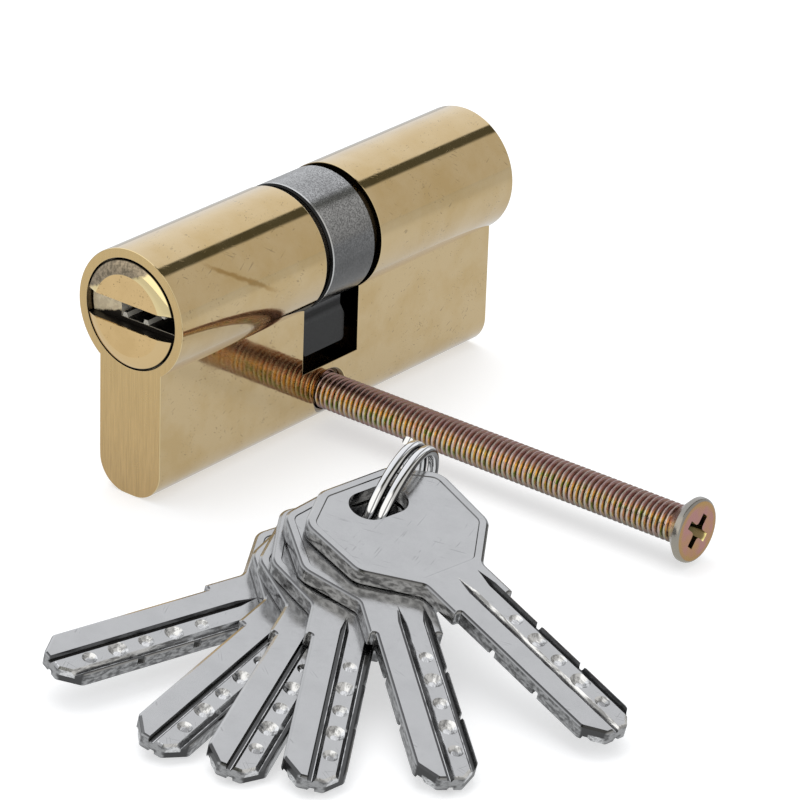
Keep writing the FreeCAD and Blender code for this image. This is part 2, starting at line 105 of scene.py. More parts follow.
# Plugs
PLUG_PROUD = 0.7
PLUG_FACE_R = 5.3
PLUG_HEAD_R = PLUG_HIGH.x
PLUG_HEAD_DEPTH = 2.0
PLUG_R = 6.45
PLUG_TAIL_R = 6.15
PLUG_TAIL_END = -2.7
CLIP_GROOVE_R = 5.6
CLIP_GROOVE_END = -4.59
GUIDE_SLOT_HALF = 1.65
GUIDE_SLOT_DEPTH = 1.7
KEYWAY_HALF_H = 1.1
KEYWAY_LEFT = -2.3
KEYWAY_RIGHT = 8.1
KEYWAY_LENGTH = 23.7
PIN_ROW_TOP = 2.8
WARD_SPREAD = 1.7
WARD_HALF_FOOT = 0.45
WARD_HALF_TOP = 0.25
WARD_H = 0.6
INNER_WARD_HALF_TOP = 0.2
INNER_WARD_H = 0.5
TAIL_SLOT_HALF = 1.5
TAIL_SLOT_DEPTH = 1.4
STEM_HOLE_R = 1.2
STEM_HOLE_LEAD = 1.3
FIRST_PIN = 5.0
PIN_PITCH = 3.8
PIN_COUNT = 5
PIN_PLACES = [FIRST_PIN + PIN_PITCH * i for i in range(PIN_COUNT)]
PLUG_BEVEL = 0.1
KEYWAY_BEVEL = 0.03

# Pin springs
SPRING_TURNS = 8
SPRING_STEPS = 24
SPRING_WIRE_R = 0.2
SPRING_WIRE_SIDES = 10
SPRING_CLOSED_LEAD = 0.43

# Cam
CAM_R = CAM_HIGH.z
CAM_HALF = CAM_HIGH.y
CAM_BORE_R = 6.2
CAM_WEB_R = 5.0
CAM_WEB_HALF = 0.9
CAM_CHAMFER = 0.25
CAM_BEVEL = 0.1
WEB_SLOT_REACH = 6.1
WEB_SLOT_HALF = 2.0
LEVER_FOOT = CAM_LOW.z
LEVER_HALF_T = 3.8
LEVER_HALF_W = 4.0
LEVER_NECK_HALF = 3.1
LEVER_NECK_END = -9.9
LEVER_STEP_TOP = LEVER_NECK_END + 1.0
LEVER_STEP_H = 1.6
LEVER_CORNER_RADII = (0, 0, 0.8, 0.8, 0.6, 0.6)

# Screw
SCREW_Z = (SCREW_LOW.z + SCREW_HIGH.z) / 2
SCREW_AXIS = (0.0, 0.0, SCREW_Z)
SCREW_TIP = SCREW_LOW.x
SCREW_TIP_CHAMFER = 0.6
THREAD_R = 2.45
THREAD_PITCH = 0.8
THREAD_DEPTH = 0.42
THREAD_RUN_OUT = 0.6
LOOPS_PER_TURN = 10
ROOT_SHARE = 0.14
FLANK_SHARE = 0.66
HEAD_TOP = SCREW_HIGH.x
HEAD_R = SCREW_HIGH.z - SCREW_Z
CONE_END = HEAD_TOP - 0.9
HEAD_EDGE_R = 0.5
RECESS_SPAN = 2.35
RECESS_TURN = -41.0
# Its cross at three places, from deep to above the head's top: x, span, arm and corner radius
RECESS_LAYERS = ((-1.8, 1.0, 0.4, 0.3), (-0.5, RECESS_SPAN - 0.3, 0.51, 0.5),
                 (0.4, RECESS_SPAN + 0.06, 0.57, 0.5))

# Keys, along u from the shoulder and v across
KEY_HALF_T = 1.0
BLADE_HALF = 3.6
BLADE_LENGTH = 23.5
SHOULDER_LENGTH = 4.2
KEY_TIP = SHOULDER_LENGTH + BLADE_LENGTH
BOW_LENGTH = 20.0
BOW_CORNER_R = 2.5
# Corners of one side of the key, from the bow's end to the tip, and the radius of each
KEY_SIDE = ((-BOW_LENGTH, 5.25), (3.7 - BOW_LENGTH, 10.5), (-6.8, 10.1), (-1.2, 4.4),
            (SHOULDER_LENGTH, 4.4), (SHOULDER_LENGTH, BLADE_HALF), (KEY_TIP - 2.4, BLADE_HALF),
            (KEY_TIP, 1.45))
KEY_RADII = (BOW_CORNER_R, BOW_CORNER_R, BOW_CORNER_R, 1.2, 0.25, 0.2, 0.9, 0.5)
KEY_CHAMFER = 0.34
KEY_CHAMFER_SLOPE = 0.6
POCKET_INSET = 1.1
POCKET_DEPTH = 0.1
POCKET_SLOPE = 0.12
POCKET_RISE = 0.3
EYE_R = 2.5
EYE_HALF_SLOT = 1.4
EYE_EDGE = 2.2
EYE_U = EYE_EDGE + EYE_R - BOW_LENGTH
KEY_REACH = KEY_TIP - EYE_U
ROW_OFFSET = 1.4
GROOVE_NEAR = 0.9
GROOVE_FAR = 2.0
GROOVE_DEPTH = 0.6
GROOVE_TOP = KEY_HALF_T + 0.4
# Corners of the groove's section: share of its half width, and whether on its floor
GROOVE_SECTION = ((-1.35, False), (-0.1, True), (0.7, True), (1.2, False))
# Stations of the groove: u, depth and share of its width
GROOVE_STATIONS = ((-0.8, -0.05, 0.15), (2.2, GROOVE_DEPTH, 1.0), (KEY_TIP + OVER, GROOVE_DEPTH, 1.0))
KEY_CUTS = (0.4, 0.7, 0.5, 0.75, 0.45)
FIRST_CUT = SHOULDER_LENGTH + FIRST_PIN + PLUG_PROUD - GUIDE_SLOT_DEPTH
PIN_TIP_R = 0.45
CUT_RISE = 0.3
NOTCH_R = 0.55
NOTCH_V = BLADE_HALF + 0.15

# The ring and the pose of the bunch
RING_D = 18.0
RING_WIRE = 1.1
RING_MEAN_R = (RING_D - RING_WIRE) / 2
RING_WIDENING = 1.2
RING_SQUARENESS = 0.75
RING_PITCH = 1.55
RING_QUARTERS = 9
RING_STEPS = 44
RING_SIDES = 20
RING_BEARING = math.radians(107.0)
TILT_BEARING = math.radians(347.0)
KEY_BEARINGS = (255.0, 278.0, 291.0, 303.0, 323.0, 350.0)
STACK_STEP = 2 * KEY_HALF_T + 0.05
STACK = [STACK_STEP * (i - (len(KEY_BEARINGS) - 1) / 2) for i in range(len(KEY_BEARINGS))]
BUNCH_X = 41.5
BUNCH_Y = -37.5

# Names of the places that the moved meshes keep for their materials
KEY_PLACE = "place_in_key"
RING_PLACE = "place_in_ring"

# Smoothing
CORNER_STEPS = 6
NORMAL_WEIGHT = 80


# Mesh helpers

def linked(name, data):
    """A new object in the scene."""
    obj = bpy.data.objects.new(name, data)
    bpy.context.scene.collection.objects.link(obj)
    return obj


def loft(name, loops):
    """A solid through loops of equally many points, flat at both ends."""
    count = len(loops[0])
    verts = [tuple(c * MM for c in point) for loop in loops for point in loop]
    last = len(verts) - count
    faces = [tuple(range(count)), tuple(reversed(range(last, len(verts))))]
    for start in range(0, last, count):
        for k in range(count):
            a, b = start + k, start + (k + 1) % count
            faces.append((a, b, b + count, a + count))
    mesh = bpy.data.meshes.new(name)
    mesh.from_pydata(verts, [], faces)
    bm = bmesh.new()
    bm.from_mesh(mesh)
    bmesh.ops.recalc_face_normals(bm, faces=bm.faces)
    bm.to_mesh(mesh)
    bm.free()
    return linked(name, mesh)


def turned_point(radius, along, angle, axis):
    """A point of a turned piece."""
    s, c = radius * math.sin(angle), radius * math.cos(angle)
    return {"x": (along, s, c), "y": (s, along, c), "z": (s, c, along)}[axis]


def shifted(points, by):
    """Points moved by an offset."""
    return [tuple(c + d for c, d in zip(point, by)) for point in points]


def turned(name, outline, axis, facets, at=(0, 0, 0)):
    """A turned solid. The outline runs along the axis, as (radius, along)."""
    angles = [2 * math.pi * k / facets for k in range(facets)]
    return loft(name, [shifted([turned_point(radius, along, angle, axis) for angle in angles], at)
                       for radius, along in outline])


def rod(name, radius, start, end, axis, facets, at=(0, 0, 0)):
    """A round bar."""
    return turned(name, [(radius, start), (radius, end)], axis, facets, at)


def stacked(name, layers, axis="z", at=(0, 0, 0)):
    """A solid through outlines stacked along X (points are y, z), Y (x, z) or Z (x, y)."""
    order = {"x": (2, 0, 1), "y": (0, 2, 1), "z": (0, 1, 2)}[axis]
    return loft(name, [shifted([[(u, v, height)[k] for k in order] for u, v in outline], at)
                       for height, outline in layers])


def prism(name, outline, start, end, axis="y"):
    """An outline drawn out along an axis."""
    return stacked(name, [(start, outline), (end, outline)], axis)


def block(name, low, high):
    """A box between two corners."""
    outline = [(low[0], low[2]), (high[0], low[2]), (high[0], high[2]), (low[0], high[2])]
    return prism(name, outline, low[1], high[1])


def wire_loop(radius, angle, height, half_w, half_h, sides, squareness=1.0):
    """A section of wire wound about Z: an ellipse, and squarer the lower the last value is."""
    points = []
    for k in range(sides):
        c, s = math.cos(2 * math.pi * k / sides), math.sin(2 * math.pi * k / sides)
        out = radius + half_w * math.copysign(abs(c) ** squareness, c)
        up = half_h * math.copysign(abs(s) ** squareness, s)
        points.append((out * math.cos(angle), out * math.sin(angle), height + up))
    return points


def apply_modifiers(obj):
    """Keep the modifiers' result as the object's own mesh."""
    bpy.context.view_layer.update()
    graph = bpy.context.evaluated_depsgraph_get()
    mesh = bpy.data.meshes.new_from_object(obj.evaluated_get(graph), preserve_all_data_layers=True,
                                           depsgraph=graph)
    old = obj.data
    obj.modifiers.clear()
    obj.data = mesh
    bpy.data.meshes.remove(old)


def combine(obj, others, operation="DIFFERENCE"):
    """Cut pieces out of an object, or join them to it."""
    for other in others:
        mod = obj.modifiers.new("combine", "BOOLEAN")
        mod.operation = operation
        mod.solver = "EXACT"
        mod.object = other
    apply_modifiers(obj)
    for other in others:
        mesh = other.data
        bpy.data.objects.remove(other)
        bpy.data.meshes.remove(mesh)


def soften(obj, width, segments=2, angle=28, outward_only=False):
    """Break the sharp edges, or only those that stand outwards."""
    mod = obj.modifiers.new("bevel", "BEVEL")
    mod.width = width * MM
    mod.segments = segments
    mod.limit_method = "WEIGHT" if outward_only else "ANGLE"
    mod.angle_limit = math.radians(angle)
    if outward_only:
        bm = bmesh.new()
        bm.from_mesh(obj.data)
        weight = bm.edges.layers.float.new("bevel_weight_edge")
        for edge in bm.edges:
            edge[weight] = float(edge.calc_face_angle_signed(0.0) > math.radians(angle))
        bm.to_mesh(obj.data)
        bm.free()
    mod.use_clamp_overlap = not outward_only
    mod.miter_outer = "MITER_ARC"
    apply_modifiers(obj)


def finish_shading(obj, angle=35):
    """Smooth shading that keeps flat faces flat."""
    for poly in obj.data.polygons:
        poly.use_smooth = True
    obj.data.set_sharp_from_angle(angle=math.radians(angle))
    mod = obj.modifiers.new("normals", "WEIGHTED_NORMAL")
    mod.keep_sharp = True
    mod.weight = NORMAL_WEIGHT
    apply_modifiers(obj)


def arc_points(cx, cy, radius, start, end, steps):
    """Points on an arc."""
    angles = [math.radians(start + (end - start) * i / steps) for i in range(steps + 1)]
    return [(cx + radius * math.cos(a), cy + radius * math.sin(a)) for a in angles]


def rounded(points, radii):
    """A closed outline with its corners rounded."""
    out = []
    count = len(points)
    for i, (point, radius) in enumerate(zip(points, radii)):
        p = Vector(point)
        if radius <= 0:
            out.append(tuple(p))
            continue
        back = (Vector(points[i - 1]) - p).normalized()
        ahead = (Vector(points[(i + 1) % count]) - p).normalized()
        half = back.angle(ahead) / 2
        reach = radius / math.tan(half)
        centre = p + (back + ahead).normalized() * (radius / math.sin(half))
        a = p + back * reach - centre
        b = p + ahead * reach - centre
        sweep = a.angle_signed(b)
        for k in range(CORNER_STEPS + 1):
            turn = Matrix.Rotation(-sweep * k / CORNER_STEPS, 2)
            out.append(tuple(centre + turn @ a))
    return out


# Node graphs

class Graph:
    """A node tree, built by short calls that take values or sockets and return a socket."""

    def __init__(self, tree):
        self.tree = tree
        tree.nodes.clear()

    def add(self, kind, inputs, output=0, **settings):
        """A node with its settings and inputs. An input of None keeps its own value."""
        node = self.tree.nodes.new(kind)
        for key, value in settings.items():
            setattr(node, key, value)
        for key, value in inputs.items():
            if isinstance(value, bpy.types.NodeSocket):
                self.tree.links.new(value, node.inputs[key])
            elif value is not None:
                node.inputs[key].default_value = value
        return node.outputs[output] if node.outputs else None

    def vector(self, operation, a, b=None, output=0):
        return self.add("ShaderNodeVectorMath", {0: a, 1: b}, output, operation=operation)

    def math(self, operation, a, b=None, c=None):
        return self.add("ShaderNodeMath", {0: a, 1: b, 2: c}, operation=operation)

    def plus(self, a, b):
        return self.math("ADD", a, b)

    def minus(self, a, b):
        return self.math("SUBTRACT", a, b)

    def times(self, a, *others):
        for b in others:
            a = self.math("MULTIPLY", a, b)
        return a

    def most(self, a, b):
        return self.math("MAXIMUM", a, b)

    def size(self, a):
        return self.math("ABSOLUTE", a)

    def outside(self, mask):
        return self.minus(1.0, mask)

    def part(self, axis, vector):
        return self.add("ShaderNodeSeparateXYZ", {0: vector}, axis)

    def span(self, value, low, high, out_low=0.0, out_high=1.0, **settings):
        """A value that goes from out_low to out_high while another goes from low to high."""
        inputs = {0: value, 1: low, 2: high, 3: out_low, 4: out_high}
        return self.add("ShaderNodeMapRange", inputs, **settings)

    def mix(self, share, a, b):
        """Colour a, turned into colour b by a share."""
        a, b = (c + (1.0,) if isinstance(c, tuple) else c for c in (a, b))
        return self.add("ShaderNodeMix", {0: share, 6: a, 7: b}, 2, data_type="RGBA")

    def layers(self, colour, *layers):
        """A colour with others laid over it in turn, each by its own share."""
        for share, over in layers:
            colour = self.mix(share, colour, over)
        return colour

    def ray(self, kind):
        return self.add("ShaderNodeLightPath", {}, "Is %s Ray" % kind)

    def either(self, share, a, b):
        """Shader a, turned into shader b by a share."""
        return self.add("ShaderNodeMixShader", {0: share, 1: a, 2: b})


class Shader(Graph):
    """A material, in millimetres of the object's own place or of one that the mesh keeps."""

    def __init__(self, name, kept=None):
        self.mat = bpy.data.materials.new(name)
        self.mat.use_nodes = True
        super().__init__(self.mat.node_tree)
        if kept:
            place = self.add("ShaderNodeAttribute", {}, "Vector", attribute_name=kept)
        else:
            place = self.add("ShaderNodeTexCoord", {}, "Object")
        self.place = self.vector("MULTIPLY", place, (1 / MM, 1 / MM, 1 / MM))

    def surface(self, **inputs):
        """End in one Principled shader and return the material."""
        named = {key.replace("_", " "): value for key, value in inputs.items()}
        self.add("ShaderNodeOutputMaterial", {0: self.add("ShaderNodeBsdfPrincipled", named)})
        return self.mat

    def stretched(self, scale, turn=(0, 0, 0)):
        """The place, turned first and then scaled along the turned axes."""
        inputs = {0: self.place, "Rotation": tuple(math.radians(t) for t in turn),
                  "Scale": tuple(1 / c for c in scale)}
        return self.add("ShaderNodeMapping", inputs, vector_type="TEXTURE")

    def noise(self, scale, detail, rough=0.55, place=None):
        inputs = {"Vector": place or self.place, "Scale": scale, "Detail": detail, "Roughness": rough}
        return self.add("ShaderNodeTexNoise", inputs, "Fac")

    def cells(self, scale):
        return self.add("ShaderNodeTexVoronoi", {"Vector": self.place, "Scale": scale}, "Distance")

    def along(self, axis):
        return self.part(axis, self.place)

    def radius_about(self, axis, centre=(0, 0, 0)):
        """Distance from a line along one axis."""
        across = tuple(float(name != axis) for name in "XYZ")
        offset = self.vector("MULTIPLY", self.vector("SUBTRACT", self.place, centre), across)
        return self.vector("LENGTH", offset, output="Value")

    def normal(self, axis):
        return self.part(axis, self.add("ShaderNodeNewGeometry", {}, "Normal"))

    def bump(self, height, distance, strength, after=None):
        inputs = {"Strength": strength, "Distance": distance * MM, "Height": height, "Normal": after}
        return self.add("ShaderNodeBump", inputs)


# Materials

# The numbers of a span say where a mask begins and where it is full: in millimetres for a place, and
# from 0 to 1 for noise and slopes.

def grey(level):
    """A grey colour."""
    return (level, level, level)


PIT_BROWN = (0.12, 0.08, 0.035)
CAM_SLOT_SHADE = (0.14, 0.085, 0.025)
RIM_PAINTED_HIGHLIGHT = (0.97, 0.78, 0.42)
STREAK_BROWN = (0.40, 0.23, 0.05)
BRUSHED_DARK = (0.54, 0.36, 0.145)
BRUSHED_LIGHT = (0.71, 0.48, 0.205)
BRUSHED_PAINTED_LIGHT = (0.86, 0.62, 0.27)
BORE_SHADE = (0.09, 0.065, 0.03)
CROSS_HOLE_SHADE = (0.16, 0.10, 0.035)
STREAK_SLOPE = 0.573
STREAK_HEIGHT = 8.55
STREAK_START = (-26.0, -24.0)
STREAK_END = (-14.5, -17.5)

MILLED_LIT = (1.0, 0.84, 0.55)
MILLED_TAN = (0.82, 0.67, 0.43)
MILLED_END_LIT = (0.80, 0.75, 0.64)
MILLED_SHADE = (0.04, 0.035, 0.03)
BEVEL_LOW = (0.84, 0.61, 0.31)
BEVEL_PAINTED_HIGHLIGHT = (1.0, 0.82, 0.44)
PATCH_REFLECTION_DARK = (0.15, 0.125, 0.10)
PATCH_REFLECTION_PALE = (0.42, 0.34, 0.25)
PLUG_GAP_SHADE = (0.035, 0.03, 0.02)

CAM_EDGE_HIGHLIGHT = (0.72, 0.72, 0.71)

FLANK_GOLD = (0.95, 0.66, 0.24)
FLANK_COPPER = (0.80, 0.52, 0.38)
FLANK_GREEN = (0.42, 0.50, 0.14)
FLANK_ROSE = (0.62, 0.35, 0.33)
CREST_PALE = (0.72, 0.70, 0.55)
CREST_PINK = (0.80, 0.60, 0.56)
THREAD_ROOT_SHADE = (0.06, 0.05, 0.025)
THREAD_TOP_SHADE = (0.25, 0.15, 0.15)
THREAD_UNDER_SHADE = (0.17, 0.10, 0.10)
THREAD_UNDER_SHADE_FAR = (0.115, 0.10, 0.08)
HEAD_SIDE_LIT_LOW = (0.46, 0.42, 0.34)
HEAD_SIDE_SHADED_HIGH = (0.37, 0.35, 0.32)
HEAD_AMBER = (0.55, 0.31, 0.14)
HEAD_ROSE = (0.53, 0.27, 0.24)
HEAD_BORDER = (0.52, 0.33, 0.12)
RECESS_DEEP_SHADE = (0.06, 0.085, 0.035)
RECESS_WALL_SHADE = (0.22, 0.16, 0.075)
RECESS_PAINTED_GLINT = (0.95, 0.82, 0.34)


def scratch_mask(s, turns):
    """Sparse straight scratches: long thin grains of stretched noise, one set for each direction."""
    total = None
    for turn in turns:
        grains = s.noise(1.0, 0.0, 0.4, s.stretched((5.0, 0.35, 5.0), turn))
        patch = s.span(s.noise(0.3, 2.0, 0.5, s.stretched((1, 1, 1), turn)), 0.56, 0.61)
        line = s.times(s.span(grains, 0.72, 0.78), patch)
        total = line if total is None else s.most(total, line)
    return total


def brass(name, polished, tarnish_and_dark_reflection, body=True):
    """Yellow brass: slight tarnish, a few fine scratches and small pits."""
    s = Shader(name)
    colour = s.mix(s.span(s.noise(0.16, 4.0, 0.6), 0.42, 0.66), polished, tarnish_and_dark_reflection)
    pits = s.span(s.cells(0.75), 0.0, 0.08, 1.0, 0.0)
    pits = s.times(pits, s.span(s.noise(0.3, 2.0), 0.54, 0.58))
    scratches = scratch_mask(s, [(25, 0, 15), (-35, 0, -30), (-12, 0, 55)])
    colour = s.mix(s.most(pits, s.times(scratches, 0.35)), colour, PIT_BROWN)
    rough = s.span(s.noise(0.45, 3.0), 0.35, 0.7, 0.045, 0.11)
    bump = s.bump(s.noise(0.22, 1.0), 0.05, 0.35)
    bump = s.bump(s.outside(s.most(scratches, pits)), 0.005, 0.5, bump)
    metal = 1.0
    if body:
        colour, rough, bump = housing_faces(s, colour, rough, bump)
    else:
        colour, rough, metal = milled_slot(s, colour, rough)
    return s.surface(Base_Color=colour, Metallic=metal, Roughness=rough, Normal=bump,
                     Coat_Weight=0.8 if body else 0.0, Coat_Roughness=0.06)


def housing_faces(s, colour, rough, bump):
    """On the body: a brown streak, a painted highlight on the rims, brushed end faces painted lighter
    towards the top, and painted shade in the cam slot, bore and cross hole.
    """
    across = s.size(s.along("Y"))
    slope = s.size(s.normal("Y"))
    # Painted shade: the walls and floor inside the cam slot are coloured dark brown.
    in_slot = s.times(s.span(across, SLOT_HALF + 0.08, SLOT_HALF + 0.04),
                      s.span(s.along("Z"), SLOT_FLOOR - 0.12, SLOT_FLOOR - 0.06))
    out_of_slot = s.outside(in_slot)
    # Painted highlight: a bright gold line on the bevelled rims at the barrel's ends and beside the cam
    # slot.
    at_highlight_rims = s.most(s.span(across, REAR - 0.3, REAR - 0.2),
                     s.span(across, SLOT_HALF + 0.24, SLOT_HALF + 0.2))
    on_barrel = s.span(s.radius_about("Y"), BARREL_R - 0.25, BARREL_R - 0.2)
    bevelled = s.times(s.span(slope, 0.97, 0.85), s.span(slope, 0.1, 0.25))
    rim = s.times(at_highlight_rims, on_barrel, bevelled, out_of_slot)

    # A brown streak along a sloping line on the front half of the barrel.
    from_line = s.math("MULTIPLY_ADD", s.along("Y"), STREAK_SLOPE, s.plus(s.along("Z"), STREAK_HEIGHT))
    waver = s.minus(s.times(s.noise(0.9, 2.0), 0.8), 0.4)
    brown_streak = s.span(s.size(s.plus(from_line, waver)), 0.5, 0.15)
    ends = s.times(s.span(s.along("Y"), *STREAK_START), s.span(s.along("Y"), *STREAK_END))
    brown_streak = s.times(brown_streak, s.times(ends, s.span(s.along("X"), 0.0, 1.0, 0.0, 0.8)))

    facing = s.times(s.span(slope, 0.95, 0.99), out_of_slot)
    grain = s.noise(1.0, 4.0, 0.7, s.stretched((7.0, 1.0, 0.25)))
    brushed = s.mix(s.span(grain, 0.35, 0.65), BRUSHED_DARK, BRUSHED_LIGHT)
    # Painted light: the brushed end faces grow lighter towards the top.
    brushed = s.mix(s.span(s.along("Z"), FLANGE_FOOT, BARREL_R, 0.0, 0.7), brushed, BRUSHED_PAINTED_LIGHT)
    # Painted shade: inside the plug bores and at their edge the body is coloured near black.
    in_bore_shade = s.span(s.radius_about("Y"), HEAD_BORE_R + 0.05, HEAD_BORE_R + 0.02)
    # Painted shade: the cross hole and its mouth are coloured dark brown.
    in_hole_shade = s.span(s.radius_about("X", SCREW_AXIS), CROSS_MOUTH_R + 0.03, CROSS_MOUTH_R - 0.03)
    colour = s.layers(colour, (in_slot, CAM_SLOT_SHADE), (rim, RIM_PAINTED_HIGHLIGHT), (brown_streak, STREAK_BROWN),
                      (facing, brushed), (in_bore_shade, BORE_SHADE), (in_hole_shade, CROSS_HOLE_SHADE))
    rough = s.plus(rough, s.times(facing, 0.17))
    return colour, rough, s.bump(s.times(grain, facing), 0.03, 0.7, bump)


def milled_slot(s, colour, rough):
    """On a plug: a dull guide slot, painted light above and painted shade below, a painted highlight on the
    bevel, and a rougher patch on it painted as a dark reflection.
    """
    face = -PLUG_LOW.y
    in_slot = s.times(s.span(s.size(s.along("Y")), face - 0.15, face - 0.3),
                      s.span(s.size(s.along("Z")), GUIDE_SLOT_HALF + 0.06, GUIDE_SLOT_HALF + 0.02))
    # Painted light and shade in the guide slot: beige where lit above a wavering line and at the keyway's
    # end, near black below it and on the ledges.
    border = s.times(s.minus(s.noise(1.6, 4.0, 0.8), 0.5), 0.7)
    border = s.math("MULTIPLY_ADD", s.along("X"), 0.3, s.plus(border, 0.3))
    lit = s.span(s.minus(s.along("Z"), border), -0.12, 0.12)
    keyway_end = s.times(s.span(s.along("X"), KEYWAY_LEFT - 0.02, KEYWAY_LEFT),
                         s.span(s.size(s.along("Z")), KEYWAY_HALF_H + 0.1, KEYWAY_HALF_H))
    ledge = s.span(s.size(s.normal("Z")), 0.5, 0.9)
    pale = s.times(s.most(lit, keyway_end), s.outside(ledge))
    tan = s.span(s.noise(1.1, 3.0, 0.7), 0.42, 0.58)
    milled = s.mix(pale, MILLED_SHADE, s.layers(MILLED_LIT, (tan, MILLED_TAN), (keyway_end, MILLED_END_LIT)))

    radius = s.radius_about("Y")
    on_bevel = s.span(radius, PLUG_FACE_R - 0.02, PLUG_FACE_R + 0.05)
    # Painted highlight: the bevel grows bright gold towards the top.
    bevel = s.mix(s.span(s.along("Z"), -1.0, 1.0), BEVEL_LOW, BEVEL_PAINTED_HIGHLIGHT)
    # A rougher patch at the top of the bevel, its mottled grey colour a painted dark reflection.
    leaning = s.math("MULTIPLY_ADD", s.along("X"), -0.45, s.along("Z"))
    at_top = s.span(s.plus(leaning, s.noise(1.4, 4.0, 0.7)), 5.1, 5.5)
    patch = s.times(on_bevel, at_top)
    tarnish_and_dark_reflection = s.mix(s.span(s.noise(2.2, 4.0, 0.7), 0.4, 0.6), PATCH_REFLECTION_DARK, PATCH_REFLECTION_PALE)
    # Painted shade: the plug's rim next to the bore is coloured near black.
    at_gap_shade = s.span(radius, PLUG_HEAD_R - 0.13, PLUG_HEAD_R - 0.06)
    colour = s.layers(colour, (on_bevel, bevel), (s.times(patch, 0.92), tarnish_and_dark_reflection), (at_gap_shade, PLUG_GAP_SHADE),
                      (in_slot, milled))
    rough = s.plus(rough, s.times(s.most(in_slot, patch), 0.32))
    return colour, rough, s.outside(s.times(in_slot, pale))


def sintered(name, light, dark):
    """Sintered steel: open grain, a painted highlight on one edge, painted shade on its lower side, its
    chamfers and under the ring, and darker at the lever.
    """
    s = Shader(name)
    height = s.along("Z")
    grain = s.noise(4.4, 4.0, 0.75)
    blotch = s.span(s.noise(0.35, 2.0), 0.4, 0.65, 0.0, 0.3)
    # Painted shade: the cam grows darker towards the bottom.
    lower = s.span(height, 6.5, -0.5, 0.0, 0.8)
    # The lever is coloured darker than the ring.
    on_lever = s.span(height, LEVER_NECK_END + 2, LEVER_NECK_END, 0.0, 0.85)
    # Painted shadow: a near black band under the ring, where it meets the lever's neck.
    neck_middle = (LEVER_NECK_END - CAM_R) / 2 + 0.6
    neck_shadow = s.span(s.size(s.minus(height, neck_middle)), 1.2, 0.3, 0.0, 0.85)
    slope = s.size(s.normal("Y"))
    radius = s.radius_about("Y")
    on_ring = s.times(s.span(radius, CAM_R - 0.42, CAM_R - 0.36),
                      s.span(radius, CAM_R + 0.15, CAM_R + 0.05))
    # Painted shade: the ring's chamfers are coloured near black.
    side = s.times(s.span(slope, 0.4, 0.6), on_ring)
    # Painted highlight: a pale line along the ring's front edge.
    at_highlight_edge = s.span(s.along("Y"), 0.56 - CAM_HALF, 0.44 - CAM_HALF)
    edge = s.times(at_highlight_edge, s.span(slope, 0.5, 0.3), on_ring)
    colour = s.layers(grey(dark), (s.span(grain, 0.42, 0.58), grey(light)), (blotch, grey(dark)),
                      (lower, grey(0.4 * dark)), (on_lever, grey(0.17 * dark)), (neck_shadow, grey(0.01)),
                      (side, grey(0.02)), (edge, CAM_EDGE_HIGHLIGHT))
    pores = s.span(s.cells(2.6), 0.04, 0.2)
    bump = s.bump(pores, 0.012, 0.5, s.bump(grain, 0.012, 0.6))
    return s.surface(Base_Color=colour, Metallic=0.92, Roughness=s.span(grain, 0.35, 0.65, 0.24, 0.15),
                     Normal=bump)


